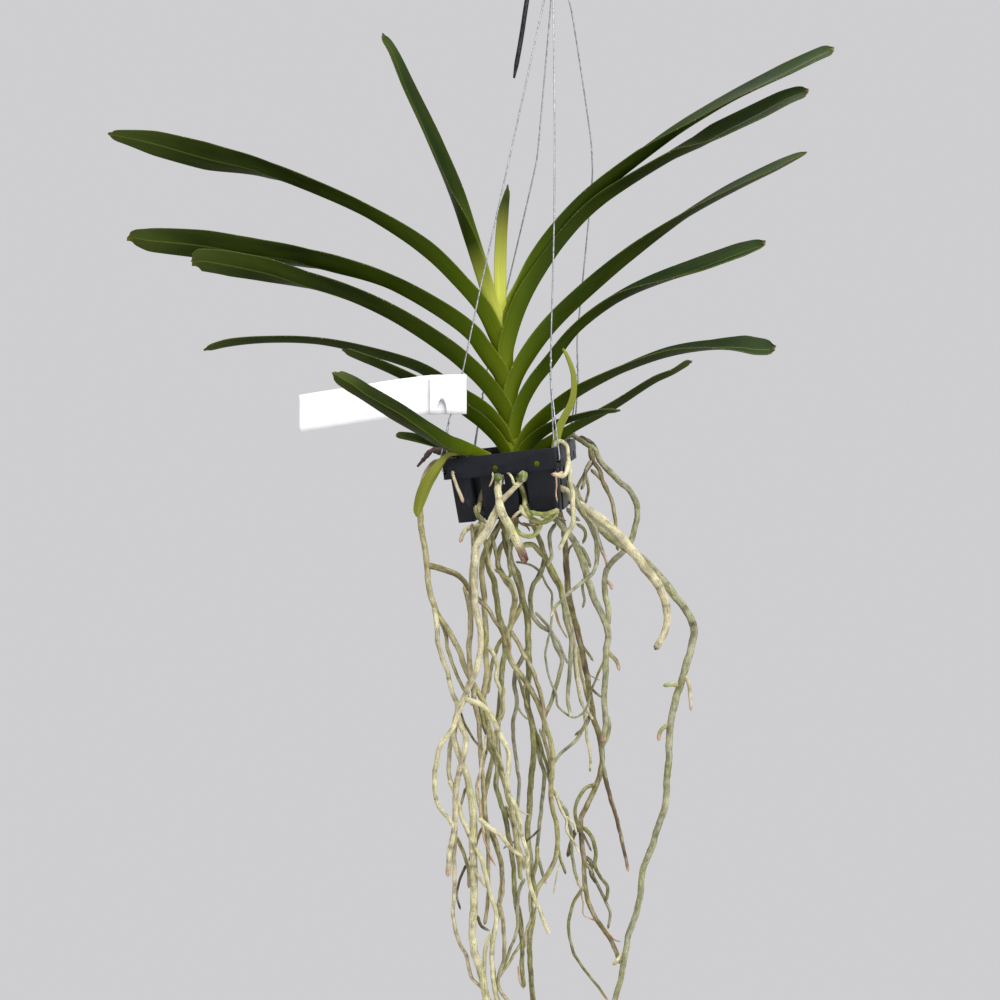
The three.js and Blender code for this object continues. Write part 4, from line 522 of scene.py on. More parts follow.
def blade_skin(leaf, sheath):
    """Skin of a strap leaf's sheath, or of its blade. At each distance along the route the section is
    two arcs with a rounded keel between them, turned to where the channel faces. The slope k - 2 b u
    of an arc falls evenly from the keel, u = 0, to the margin, u = 1, so it reaches half the width
    times (sin k - sin(k - 2 b u)) / 2 b up and (cos(k - 2 b u) - cos k) / 2 b aside. b goes from a
    sheath's bend to a blade's. The upper face is the same pair of arcs, set in by the leaf's
    thickness, and both meet in a thin rounded margin. Past the cut between them, sheath and blade
    each thin to half inside the other."""
    side, cut, rows = LEAVES[leaf]
    rows = np.array(rows, float)
    places, line, run = measured(seen(rows[:, :3]))
    end = run[-1]
    back = min(TIP_LENGTH, end * TIP_SHARE)
    if sheath:
        distance = np.concatenate([
            np.linspace(0, cut, int(cut / SHEATH_STEP) + 8),
            cut + np.linspace(0, TUCK, TUCK_RINGS)[1:],
        ])
        wall = np.interp(distance, [cut, cut + TUCK], [1, TUCK_WALL])[:, None]
    else:
        distance = np.concatenate([
            cut - np.linspace(TUCK, 0, TUCK_RINGS)[:-1],
            np.linspace(cut, end - back, max(6, int((end - cut) / BLADE_STEP)), endpoint=False),
            end - back * np.linspace(1, TIP_CUT, TIP_RINGS),
        ])
        wall = np.interp(distance, [cut - TUCK, cut], [TUCK_WALL, 1])[:, None]
    narrow = np.interp((end - distance) / back, [TIP_CUT, 0.3, 0.45, 1], [0.6, 0.76, 0.86, 1])
    reach_share = np.clip((0.6 - (end - distance) / back) / 0.45, 0, 1)
    t = np.interp(distance, run, places)
    centre = through(seen(rows[:, :3]), t)
    along = unit(through(seen(rows[:, :3]), t + 1e-3) - through(seen(rows[:, :3]), t - 1e-3))
    knots = np.arange(len(rows))
    even = np.linspace(0, run[-1], 400)
    spread = max(2, int(5 / (run[-1] / 400)))
    soft = np.ones(spread) / spread
    facing, opening, half = (
        np.interp(distance, even, np.convolve(
            np.pad(np.interp(np.interp(even, run, places) * knots[-1], knots, rows[:, k]), spread, "edge"),
            soft, "same",
        )[spread:-spread])
        for k in (3, 4, 5)
    )
    facing, opening = np.radians(facing)[:, None], np.radians(opening)[:, None]
    half = (half * narrow)[:, None]
    rounded = np.sqrt(ACROSS**2 + KEEL_ROUND**2) - KEEL_ROUND
    rounded = rounded / rounded[-1]
    bend = np.radians(SHEATH_BEND + (BLADE_BEND - SHEATH_BEND) * np.minimum(distance / cut, 1))[:, None]
    keel = opening + bend
    reach_up = (np.sin(keel) - np.sin(keel - 2 * bend * rounded)) / (2 * bend)
    reach_aside = (np.cos(keel - 2 * bend * np.abs(ACROSS)) - np.cos(keel)) / (2 * bend) * np.sign(ACROSS)
    outer_p, outer_q = half * reach_up, half * reach_aside
    thick = KEEL_THICK + (BLADE_THICK - KEEL_THICK) * np.abs(ACROSS)
    inset = np.maximum(half - thick / np.tan(keel), 0.15 * half)
    inner_p = thick / np.sin(keel) + inset * reach_up
    inner_q = inset * reach_aside
    margin = np.sqrt(1 - np.clip((np.abs(ACROSS) - 0.93) / 0.07, 0, 1) ** 2)
    mid_p, mid_q = (outer_p + inner_p) / 2, (outer_q + inner_q) / 2
    gap_p, gap_q = (inner_p - outer_p) / 2 * margin * wall, (inner_q - outer_q) / 2 * margin * wall
    edge_p, edge_q = outer_p[:, [0, -1]], outer_q[:, [0, -1]]
    loop = np.concatenate([np.arange(len(ACROSS)), np.arange(len(ACROSS))[-2:0:-1]])
    under = np.arange(len(loop)) < len(ACROSS)
    p = np.where(under, (mid_p - gap_p)[:, loop], (mid_p + gap_p)[:, loop])
    q = np.where(under, (mid_q - gap_q)[:, loop], (mid_q + gap_q)[:, loop])
    high = p * np.cos(facing) - q * np.sin(facing)
    near = p * np.sin(facing) + q * np.cos(facing)
    corners_high = np.concatenate([edge_p * np.cos(facing) - edge_q * np.sin(facing), 0 * facing], 1)
    corners_near = np.concatenate([edge_p * np.sin(facing) + edge_q * np.cos(facing), 0 * facing], 1)
    high = high - (corners_high.max(1) + corners_high.min(1))[:, None] / 2
    near = near - (corners_near.max(1) + corners_near.min(1))[:, None] / 2
    sight = np.array([0.0, 1.0, 0.0])
    up = unit(np.cross(sight, along)) * -side
    front = unit(-sight + along * along[:, 1:2])
    reach = np.interp(ACROSS, [-1, -0.55, 0, 0.55, 1], TIP_REACH)[loop] * back
    rings = (centre[:, None] + high[..., None] * up[:, None] + near[..., None] * front[:, None]
             + (reach * reach_share[:, None])[..., None] * along[:, None])
    across = np.broadcast_to(ACROSS[loop], p.shape)
    far = np.broadcast_to(distance[:, None], p.shape)
    number = list(LEAVES).index(leaf)
    return {
        "rings": rings,
        "strip": np.stack([across * half, np.where(under, 0, 8) + 0 * p, far + 400 * number], -1),
        "across": across.copy(),
        "growth": far / run[-1],
        "upper": np.broadcast_to(np.where(under, 0.0, 1.0), p.shape).copy(),
    }


STEM_AXIS = [(511, 478, 0), (512, 452, 0), (510, 420, 0), (506, 375, 0), (503, 335, 0)]
STEM_RADII = [6.5, 6.5, 4.2, 3, 1.8]
LEFT_SHOOT = [(505, 470, -2), (490, 466, -10), (476, 462, -17), (468, 455, -21)]
LEFT_SHOOT_RADII = [4.5, 4.5, 4.5, 3.5]
RIGHT_SHOOT = [(512, 470, -2), (532, 466, -12), (549, 462, -19), (554, 448, -24)]
RIGHT_SHOOT_RADII = [4, 4, 3.6, 2.6]
DRIED_STUB = [
    (474, 461, -17), (458, 454, -18.5), (441, 451.5, -19),
    (432, 450.5, -20), (424, 459, -21), (417, 467, -21),
]
DRIED_STUB_RADII = [2, 2.4, 2.4, 1.8, 1.3, 0.7]


def stalk_skin(route, radii, seed, lumps=0.05, step=1.0, around=14):
    """Rod along a route whose radius goes from one given value to the next, with slow lumps."""
    line, distance = even_line(seen(route), step)
    places, _, run = measured(seen(route))
    at = np.interp(distance, run, places) * (len(radii) - 1)
    radius = np.interp(at, np.arange(len(radii)), radii)
    radius = radius * (1 + lumps * waves(distance, (3.1, 5.3, 9.7), seed)) * rounded_ends(distance, radius)
    return rod_skin(line, radius, around, seed)


# Roots. Each strand: radius at its start and tip, how much thicker it is at each point, its start in
# the basket's frame, then its route, its skin, and what its tip is like. A route's words are picture
# column and row, and the depth where it changes.

ROOT_SWELL = 1.3          # how much thicker roots are in the open than inside the basket
ROOT_SWELL_POINTS = 3     # route points over which they get so
ROOT_STEP = 1.5
ROOT_SWAY = 0.30          # how far a root's middle wanders from its route
SWAY_EASE = 12            # distance from either end over which it starts to
ROOT_LUMPS = 0.09         # share by which the radius comes and goes

ROOTS = {
    "roots_left": [
        ((1.6, 1.2), (),
         [(-17, -12, -8), (-26, -9, -1), (-32.5, -8, 2.4), (-37, -8, 2.4), (-40.5, -8, -1)],
         "430,466,-13 423,482,-18 420.5,500,-22 420,515,-25 422,532,-27 425,549 427,566 428,580 431,596 "
         "436,611 450,633 460,653 468,674 478,692 485,706 488,722 488,740 496,761,-28 502,775 509,800 "
         "514,822 516,842 519,862 521,880", "khaki", "plain"),
        ((1.5, 0.8), (), [],
         "427,565,-27 438.6,568 450,571.5 459,576 470,590 479,600 487.5,608 495,621 503,634 506,648,-28",
         "brown", "plain"),
        ((1.2, 0.8), (), [],
         "434,606,-27 437.5,630,-31 437.5,641,-32 441.6,656 447,670 452,692 457,706 455,725 450,746 "
         "449,767 450,780 456,792 455.5,824 454.4,852 454.4,888 453.5,920 459.5,943 467,957 471,977 "
         "481,987 489,998 494,1012", "cream", "dark"),
        ((1, 0.7), (), [],
         "439,617,-27 445,632,-24 448,649,-23 451,660 460,682 466,693 472,706,-22", "khaki", "pink"),
    ],
    "root_front_red": [
        ((2.2, 2), (), [(-2, -7, -11), (-2.5, -24, -14.5), (-2.5, -35.5, -16.2)],
         "498,486,-39 498.5,497,-44 501,510,-46 508,524 515,538 521,550,-45 526,563,-44", "cream", "red"),
    ],
    "roots_front_pale": [
        ((1.5, 1.3), (1, 1, 1, 1, 1, 1.1, 1.2, 1.3, 1.3, 1.2, 1.15, 1.1, 1.05, 1),
         [(1, -5, -10), (7.2, -17, -13.5), (10.75, -29, -16.5), (10.75, -37, -18.5)],
         "515,487,-38 507,495,-39 499,505,-39.5 494,516,-40.5 487,530,-41.5 477,546,-42 474.5,571 "
         "475,596 476,611 480.5,630 480.5,650 476.5,668 469,688 461,705 458,714 461,726 466,737 465,748 "
         "462,761 457,782 455,806 455,826 450,850 448,877", "cream", "pink"),
        ((1.2, 0.9), (), [],
         "459,711,-42 453,728,-45 440,746,-46 436,765 434.5,782 436,799 441,810 449,819 453.5,828,-47",
         "cream", "plain"),
        ((1.3, 0.9), (), [],
         "464,699,-42 475,702,-45 482,705,-46 489,712 496,726 502,738 508.5,752 508,768 507,782 510,796 "
         "517,809 522,836 527,852 528.5,879 535,899 543,919 549.5,935", "cream", "pale"),
    ],
    "roots_front_left": [
        ((1.7, 0.9), (), [(-11, -13, -13), (-16, -22, -24), (-17.9, -30.5, -32.5), (-17.9, -36, -36)],
         "482,520,-31 480,534,-33.5 475,552,-36 472,575 471.5,592 470.5,612 471,627 469,646 470,668 "
         "473,688 474.5,703 479,722 480,748 482,770 484,796 486,820 488,850 488.4,874 487.5,905 "
         "484.5,925", "khaki", "plain"),
        ((1.5, 1.3), (1, 1, 1, 1, 1, 1.1, 1.2, 1.3), [],
         "471,680,-36 464,698,-37 456,718 454,738 461,760 468,781 472,804 473.5,824 473,852 474,880 "
         "474,903 472.6,926 474,950 480,970 484,985 486,1003 484,1022 480,1040", "cream", "plain"),
        ((1.4, 0.9), (), [],
         "482,524,-31.5 475,527,-29 468,528.5,-27 463,534,-27.5 460,543,-28", "cream", "pink"),
    ],
    "root_rim_hole": [
        ((1.05, 0.9), (), [(-19, -18, -8.2), (-25, -26, -8.6), (-29.5, -32, -8.7), (-29.5, -38.8, -8.8)],
         "455,481,-34 459,491,-34.5 463.5,503", "cream", "pink"),
    ],
    "roots_middle_left": [
        ((1.5, 1.1), (), [(-5.5, -4, -14), (-8, -8, -28), (-9, -9, -42)],
         "496,530,-11 487,546,-17 482,562,-20 482.5,580 484,598 485,616 486,632 485.5,650 487,672 "
         "484,689 483,704 486,720 493,738 493.5,752 490,770 486,788 483.5,806 488,826 496,846 501,862 "
         "502,880 500,900 497,918 493.5,936 492,958 494,980 498,1001 502,1022", "khaki", "plain"),
        ((1.2, 0.8), (), [],
         "486,645,-20 494,655,-18 497,667,-17 496,677 501,692 502,706 497,728", "cream", "pink"),
        ((0.9, 0.6), (), [],
         "493.5,740,-20 486,752,-23 482,768 476.5,789 479.5,808 483,827 487,848 494,864", "cream", "pink"),
    ],
    "root_middle_dark": [
        ((1.6, 1.1), (), [(-7, 0, -13), (-9, 1, -28), (-9, 0, -42)],
         "496,532,-5 489,552,-11 488,566,-12 494,582 497,602 499,616 504,632 505,650 502,670 501,690 "
         "499,712 497,736 499,760 496,785 502,806 507,826 511,850 514,874 515,898 519,922 522,943 "
         "522,966 524,988", "olive", "plain"),
    ],
    "roots_middle_pale": [
        ((1.6, 1.1), (), [(-2, -1, -16), (-3, -3, -28), (-3, -4, -42)],
         "508,534,-3 500,550,-4 498,566 505,579 512,589 515,598 513,611 510,628 508,642 509,656 516,669 "
         "525,680 532,692 540,708 545,724 550,740 553,757 551.5,778 551,800 556,822 557.5,843 554,863 "
         "546,876 537,890 534,908", "khaki", "pale"),
        ((1.1, 0.8), (), [],
         "510,630,-4 517,641,-7 524,654,-8 532,669 537,682 543,702 544,716", "khaki", "pink"),
    ],
    "roots_middle_right": [
        ((1.8, 1.2), (), [(-3, 4.5, -13), (-2, 6, -28), (-2, 7, -42)],
         "514,534,8 510,548,5 511,562,4 517,574 521,589 522.5,600 526.5,612 528,630 528.5,650 529,670 "
         "527,690 527.5,706 532,724 534,745 532,770 530,796 529,815 527.5,836 530,856 532.5,876 534,898 "
         "533,918 529.5,940 530,960 531.5,984 533,1004 533,1022 531,1038", "olive", "plain"),
        ((1.3, 0.8), (), [],
         "522.5,601,4 517,615,2.5 508,630,4.5 499,644,5 493,660 490,676 488,694", "khaki", "pink"),
        ((1.2, 0.8), (), [],
         "528.5,646,4 521,661,3 515,673,4 514.5,686 517,704 513,723 514,744 517,764 519,785 517.5,808 "
         "514,836", "grey", "plain"),
        ((1.2, 0.8), (), [],
         "532,722,4 538,742,8 540,760,9 544.5,772 543,790 541,812 538.5,834 537,850 541,868 546,884",
         "grey", "pink"),
    ],
    "roots_right_pale": [
        ((1.7, 0.9), (), [(3.5, -3.5, -13.5), (6, -4, -28), (8, -4, -42)],
         "534,527,2 541,543,6 546,560,8 552,574 559,586 562.5,600 566,620 571,639 570.5,657 569.5,677 "
         "567.5,696 571,718", "grey", "pale"),
        ((1.1, 0.7), (), [],
         "562,596,8 567,610,11 571.5,628,12 575,650 577,672 579,692 585,711", "cream", "pale"),
        ((1.2, 0.8), (), [],
         "545,557,8 540,576,11 533,585,13 530.5,597 532,614 540,625 551,633 556,647 562,659 557,682 "
         "551,703 545,716,14 544,736 549,757 549,778 557,797 566,812 571,832 572,856 575,871 579.5,887",
         "grey", "pink"),
    ],
    "roots_right_brown": [
        ((1.8, 1.1), (), [(3.8, 5.5, -12.8), (13, 10, -24), (24.5, 10.75, -38), (25, 10.75, -43)],
         "563,523,18 564.5,539,22 566,556,24 567,574 568.5,594 574,618 580,642 586,671 590.5,699 594,720 "
         "600,738 602,755 600,774 594,791 587,805 581.5,817 581.5,840 584,862 585.5,890 591.5,910 "
         "604.5,931 614,946 620,964", "brown", "plain"),
        ((1.2, 0.8), (), [],
         "602,765,24 608,789,27 613,806,28 620,832 625,855 628.5,872", "brown", "pink"),
        ((1, 0.8), (), [],
         "597,784,24 586,788,20 578,799,19 575,811 577,822,20 581,834,24", "olive", "plain"),
        ((0.9, 0.6), (), [],
         "585,885,24 575,900,21 569.5,917,20 569,934 574,953 584,969 599,988 610,1003", "olive", "pink"),
        ((1, 0.7), (), [],
         "584,862,24 591,870,27 595,880,28 601.5,893 610,912 608,929", "grey", "dark"),
        ((1, 0.7), (), [],
         "592.5,710,24 585,725,21 575.5,741,20 564,750 555,761 549,770", "grey", "plain"),
    ],
    "roots_right_long": [
        ((2.1, 1.3), (), [(5, 2, -11), (20, 8.5, -20), (28, 10.75, -24.5), (34, 10.75, -28)],
         "582,503,6 597,526,-2 611,538,-6 629,550,-8 647,563,-9 661,578,-10 674,595 686,610 693.5,627 "
         "692.5,643 687,662 681,683 674,706 670,728 669,756 667,778 665.5,804 659,824 651.5,848 643,869 "
         "641,889 636,914 628,937 624,962 620,982 614,1002 610,1020 612,1038", "grey", "plain"),
        ((1, 0.7), (), [],
         "684,672,-10 688,682,-11 690,697 691,711", "cream", "pink"),
        ((1.3, 1.1), (), [],
         "680,686,-10 672,684 663,686", "khaki", "green"),
        ((1.2, 1), (), [],
         "669.5,724,-10 661,730 658.5,741", "khaki", "pink"),
    ],
    "root_right_thick": [
        ((2.2, 1.5), (1, 1, 1, 1, 1.2, 1.3, 1.3, 1.3, 1.3, 1.3, 1.3, 1.3, 1.25, 1.1, 1.1, 1),
         [(5, -3, -13), (14, -11, -19.5), (25, -17.9, -24.5), (35, -17.9, -28)],
         "572,499,-20 585,508 597,517 611,528 624,541 639,560 651,575 660,588 665.5,603 667.5,618 "
         "664.5,632 655,650", "cream", "dark"),
    ],
    "roots_over_rim": [
        ((1.6, 1.4), (),
         [(0.5, 6, -9), (7, 18, -10), (28, 24, -5), (33.5, 24, 2.4), (37.4, 23.5, 2.5), (40.5, 22, 0)],
         "585,443,12 595,450 600,461 609,471 619,481 629,490 637,506 636,524 630,542 621,554,11 "
         "611,563,6 605,575,1 605,592,-3 608,608,-6 608,626,-8", "grey", "plain"),
        ((2, 1.3), (), [(23, -17.9, -40.5), (25, -17.9, -43)],
         "560,524,-14 569,534,-10 577,547,-8 583,562 588.5,582 594,598 602,615 608,632 606,652 605.5,675 "
         "604,698 605.5,718 603,742", "grey", "pink"),
        ((1.1, 0.9), (), [],
         "606,650,-8 611,655 616.5,661 619.5,671", "khaki", "pink"),
        ((1, 0.8), (), [],
         "605,580,0 610,584,-1 612.5,590", "khaki", "pink"),
        ((1.1, 0.8), (), [],
         "590,446,12 591.5,458,9 599,470,6 605,487,4 611,498 615,520,3 616.5,540 618,551",
         "brown", "plain"),
        ((1, 0.8), (), [],
         "591.5,460,9 586,470,2 585,480,-2 581,490,-5", "grey", "dark"),
    ],
    "roots_front_right": [
        ((1.3, 1.1), (),
         [(27, -18.5, -7.5), (31.5, -27, -1.5), (34.3, -26.5, 2.6), (37.3, -26, 2.4), (40, -26, -0.5)],
         "568,456,-33 569.5,467 570.5,482,-32 573,495,-31 572.5,506 573.5,517 571,528 564.5,539 559,550",
         "cream", "pale"),
        ((1.1, 0.7), (), [],
         "572,491,-31 578,502,-29 584,514,-28 591,528 596,542 595,568 588,578 576,587 564,598 555,607 "
         "550,617", "grey", "pale"),
        ((0.9, 0.7), (), [],
         "585,516,-28 594,524,-31 598,538,-32 602,551 608,563", "grey", "pink"),
        ((1.1, 1), (), [],
         "568.5,460,-33 567,470,-36 563,476,-41 557,475,-43.5 551,474,-44", "cream", "pink"),
    ],
    "roots_front_low": [
        ((1.5, 1.2), (), [(0, -5, -14.5), (6, -14, -22), (10.2, -25, -29), (10.75, -35, -34)],
         "525,507,-36.5 529.5,516,-37 540,522 551,518.5 559,509,-38", "green", "green"),
        ((1.2, 1), (), [],
         "559,509.5,-38 553,512,-40.5 545,514,-41.5 536,513.5 529,511,-41", "green", "green"),
        ((1.2, 1), (), [],
         "541,522,-37 538.5,530,-34 531,536.5,-33 522,535,-32 514,526.5,-31", "green", "green"),
        ((0.9, 0.7), (), [],
         "526,508.5,-36.5 519,512,-37.5 511.5,519,-38.5", "cream", "pink"),
    ],
}

# Finer roots: radii at start and tip, skin, tip and route

FINE_ROOTS = {
    "front": [
        ((1.1, 0.9), "olive", "plain", "472,523,-34 473.5,546 472,562"),
        ((1, 0.7), "olive", "plain", "492,535,-24 495.5,552 499,569"),
        ((1.1, 0.8), "khaki", "pale", "485,540,-30 487,552 489.5,563.5 494.5,573"),
        ((1.3, 1), "olive", "plain", "503.5,529,-16 506,546 510.5,563.5 517,581 522,600"),
        ((0.9, 0.6), "khaki", "plain", "494,569,-20 503.5,575 512.5,584 516,600"),
        ((0.6, 0.5), "grey", "plain",
         "515,562,10 526.5,563.5 539,571 546,584 552,594 552,606 550.5,630 547.5,642 545.5,655 547,669 "
         "551,682 555.5,692 558,706 566,714 575,717.5 583.5,712 588.5,703 590.5,695"),
        ((1.3, 1.1), "green", "plain", "522,545,-2 533,545 540,553 548,561 555,575 561,586.5 563,600"),
        ((0.9, 0.6), "olive", "plain", "547,556,6 543,566 536,578 531,590 530,600"),
        ((1, 0.9), "grey", "plain", "556,523,-8 550.5,532.5 549.5,544 551.5,555.5 547,567"),
        ((0.45, 0.3), "rose", "plain", "555.5,471,-44 556.5,484 556,493 557.5,502.5"),
        ((0.9, 0.8), "rose", "pale", "563,471.5,-40 559.5,474 554.5,474"),
        ((0.8, 0.5), "cream", "dark", "517.5,485.5,-43 514.5,484.5 512,477.5 509,473.5 506,473"),
        ((0.5, 0.4), "cream", "pink", "492.5,472,-43 493,477.5 491.5,482.5 489,487"),
        ((0.6, 0.4), "brown", "plain", "515,517.5,-30 520.5,523.5 527.5,527 530,532"),
        ((0.8, 0.6), "brown", "plain", "520.5,523.5,-28 533.5,525 545,522 556.5,517.5 566.5,521"),
        ((1.2, 1), "cream", "green", "557.5,513,-36 550.5,517.5 542.5,516 539,514.5"),
        ((1.3, 1), "cream", "plain", "520.5,505,-36.5 523,512 530,517.5 540,521 549.5,520"),
        ((0.8, 0.6), "olive", "plain", "479.5,521,-24 475.5,535 473,546.5 472.5,561"),
        ((0.9, 0.7), "khaki", "plain", "486.5,538.5,-26 487.5,552 489.5,563.5 493,572.5"),
        ((1, 0.7), "olive", "plain", "501,523.5,-18 506,535 509,546.5 509,563.5 510.5,575 508,578.5"),
        ((1.2, 0.9), "olive", "plain", "475.5,505,-32 476,512 479.5,518.5 486.5,523.5"),
        ((2.3, 2), "bud", "plain", "496,473.5,-41 497.5,477 498.5,482"),
        ((2.7, 2), "bud", "plain", "523,470.5,-40 523,476 521.5,482.5"),
    ],
    "right": [
        ((1.1, 0.8), "olive", "plain", "588.5,449,10 593,458 586,472 579,484 573.5,498"),
        ((1.5, 1.1), "dark", "plain", "578,437,16 590.5,443 596.5,452 600,464"),
        ((0.8, 0.6), "brown", "plain", "586,475,6 588.5,489 585,505"),
        ((1, 0.8), "grey", "plain", "590.5,469,14 602,480 609,491"),
        ((1.1, 0.8), "grey", "plain", "566.5,507.5,-20 573.5,516.5 580.5,521"),
        ((0.9, 0.7), "olive", "plain", "576,523.5,-10 584,529 585.5,536 582.5,544"),
        ((1, 0.7), "olive", "plain", "569.5,533.5,-8 576,544 582.5,549.5 587.5,558 590.5,568"),
        ((1.2, 0.9), "khaki", "plain", "574.5,500.5,-12 581.5,512 589.5,523.5 595.5,536 598,552 596.5,567"),
        ((0.8, 0.5), "grey", "dark", "597.5,535,-4 602,548.5 605.5,560 607,567.5"),
        ((0.8, 0.6), "grey", "plain", "582.5,578.5,4 582.5,589 584.5,600 582.5,608.5"),
        ((0.7, 0.5), "olive", "plain", "579.5,541.5,20 570,547.5 568,555.5"),
    ],
    "middle": [
        ((1, 0.6), "cream", "pale",
         "571.5,636,16 573,647 575,666.5 578,686.5 580.5,701.5 586.5,710 593.5,720"),
        ((0.9, 0.6), "khaki", "plain", "577,647,18 579.5,664 583.5,683.5 586.5,697.5 590,708.5"),
        ((0.9, 0.6), "olive", "dark", "579.5,638.5,24 581.5,644 587.5,652.5 593.5,661.5"),
        ((0.5, 0.3), "grey", "plain", "585,669.5,24 587.5,673 594,677.5 600.5,680.5"),
        ((0.7, 0.5), "brown", "plain", "604,661,8 599,672 593.5,685 589,694.5"),
        ((0.8, 0.6), "olive", "plain", "588.5,685,20 595.5,692.5 602,698"),
        ((0.7, 0.4), "rose", "plain", "554.5,607.5,12 558,620.5 561.5,629 567.5,638.5"),
        ((0.9, 0.6), "cream", "dark", "584.5,708.5,22 585.5,724 587.5,741 590.5,756.5 590,772"),
        ((1, 0.8), "dark", "plain", "590.5,714.5,22 587,723 583,729 574.5,735.5"),
        ((1, 0.8), "grey", "plain", "607.5,714.5,-6 609.5,727 607.5,737 602.5,747.5 602.5,760.5 606.5,779"),
        ((0.7, 0.5), "dark", "plain", "460.5,711.5,-30 462,717 469,732.5 477.5,744 487.5,754.5"),
        ((0.9, 0.6), "khaki", "pink", "505.5,626,-10 507.5,636 510,644 510,652"),
        ((0.6, 0.4), "grey", "plain", "517,704.5,-8 520.5,711.5 524.5,716.5 528.5,720"),
        ((0.8, 0.6), "olive", "plain", "515.5,671,-6 520.5,683.5 523,694.5 528.5,708.5"),
        ((0.7, 0.5), "cream", "plain", "486,734,-40 485,746.5 481.5,760.5 479.5,779"),
        ((1, 0.7), "khaki", "plain", "481.5,711.5,-32 484,727 490,741 498.5,756.5 504,772"),
        ((0.9, 0.7), "olive", "plain", "479,700.5,-34 483,721.5 488,737 494.5,751 496.5,767.5 496,784.5"),
        ((0.9, 0.7), "khaki", "plain", "491,669.5,4 487.5,685 484,700.5 481.5,717"),
        ((0.9, 0.7), "khaki", "plain", "504,686.5,-20 503,700.5 503,713 498,720.5 496,728.5"),
        ((0.8, 0.6), "brown", "plain", "503,700.5,-14 503,714.5 498.5,723"),
        ((0.8, 0.6), "grey", "plain", "535,612,-2 543.5,620.5 552.5,633 559,643 563.5,654 568.5,664.5"),
        ((0.9, 0.6), "olive", "plain", "529.5,662.5,-4 536.5,683.5 541.5,700.5 544,711.5"),
        ((0.8, 0.6), "dark", "plain", "466.5,585.5,-24 473.5,595 480.5,602 485,607.5"),
        ((0.9, 0.7), "khaki", "plain", "463.5,585.5,-28 467,598 469,610.5 470,623"),
        ((0.8, 0.7), "khaki", "plain", "539.5,728.5,2 546.5,746.5 550.5,765 554,780"),
        ((0.9, 0.7), "olive", "plain", "536.5,732.5,4 542,749.5 546.5,765 551,780 552.5,791.5"),
        ((0.7, 0.5), "olive", "plain", "524.5,683.5,-12 524,694.5 526.5,708.5"),
    ],
    "low": [
        ((1.1, 1), "cream", "plain",
         "449,780,-40 455,792.5 458.5,804 463.5,822 472,840.5 480.5,857 486,875.5 490,892 494.5,906.5 "
         "496.5,920.5 494.5,934.5 491.5,955.5 493,976.5 496.5,1000 498.5,1011.5"),
        ((1.1, 1), "cream", "plain", "478,818,-44 490,827.5 501.5,836 510.5,848 524,858.5 528,870"),
        ((0.5, 0.3), "cream", "plain", "508.5,795.5,-46 518,808 524,813 530,815"),
        ((0.5, 0.4), "rose", "plain", "479,774.5,-38 477.5,784 479.5,797 480.5,808 479.5,819.5"),
        ((0.45, 0.3), "rose", "pink", "481.5,822,-38 484.5,840.5 490,854.5 496,867"),
        ((0.9, 0.7), "khaki", "plain", "490,829,-22 493,833.5 498.5,850 502,875.5 503,892 499.5,903.5"),
        ((1, 0.8), "khaki", "plain", "537.5,846,4 536.5,864 533,878 530,899.5 531,914.5"),
        ((1, 0.7), "olive", "dark", "550.5,788.5,6 552.5,805.5 556,822 557,839 560.5,858.5 566,874.5"),
        ((0.4, 0.3), "cream", "plain", "560.5,863,6 556,878 553.5,894"),
        ((0.8, 0.5), "cream", "pale", "553.5,787,8 560.5,808 566,819.5 566.5,830.5 574.5,843 580,854"),
        ((0.7, 0.5), "cream", "pale", "564.5,815,9 573,823.5 577,834"),
        ((1.3, 0.9), "dark", "dark", "580,825,24 573,836 569.5,849 567.5,857.5"),
        ((0.45, 0.3), "rose", "plain",
         "570,847.5,24 574.5,867 580,888 583,902 583.5,914.5 597,921.5 608,931.5 615,940 622,942"),
        ((1.1, 0.8), "olive", "plain",
         "583,826.5,26 591,836 595.5,850 595.5,867 601,878 607.5,887.5 606.5,901"),
        ((0.7, 0.5), "brown", "dark", "582,832,27 586.5,840.5 591.5,851.5"),
        ((1.2, 0.9), "dark", "plain", "583.5,856,27 590.5,861.5 591,874 597,884"),
        ((0.9, 0.8), "khaki", "pink", "456,836,-30 463.5,853 468.5,870 469,888.5"),
        ((0.7, 0.5), "dark", "plain", "466.5,864,-30 460,879.5 457,896.5 460.5,910"),
        ((0.7, 0.6), "brown", "plain", "482.5,826.5,-30 477.5,839 474,850 468.5,861.5"),
        ((0.7, 0.6), "brown", "plain", "465.5,787,-34 462,801 459.5,808"),
        ((1, 0.8), "cream", "plain", "475,871,-40 481.5,880.5 486.5,888"),
        ((0.8, 0.7), "dark", "plain", "477,914.5,-34 481.5,926 490,931"),
        ((1, 0.9), "cream", "plain", "493,933,-36 487.5,940 485,954 484.5,973.5 486,990.5"),
        ((1, 0.8), "khaki", "plain",
         "498.5,902,-24 503,920.5 504,941.5 504,959.5 498.5,976.5 500,990.5 510,1003"),
        ((0.9, 0.7), "grey", "plain",
         "525,878,-14 519,891 517.5,906.5 517,931.5 510,948.5 505.5,962.5 499.5,978"),
        ((0.8, 0.6), "khaki", "plain", "523,940,-12 511,959.5 503,972 495,980.5"),
        ((0.9, 0.5), "cream", "pale", "532,906.5,4 531,917.5 526.5,931.5 525.5,947"),
        ((0.45, 0.3), "rose", "plain", "518,965,-12 519,976.5 521,985 524,989.5"),
        ((0.5, 0.4), "dark", "plain", "503,849,-12 511,843 518,841.5"),
        ((0.6, 0.5), "dark", "plain", "539.5,829,2 534.5,834 528,839.5 522.5,843"),
        ((1.1, 0.9), "cream", "plain", "623.5,952.5,-8 618,959.5 612.5,965.5"),
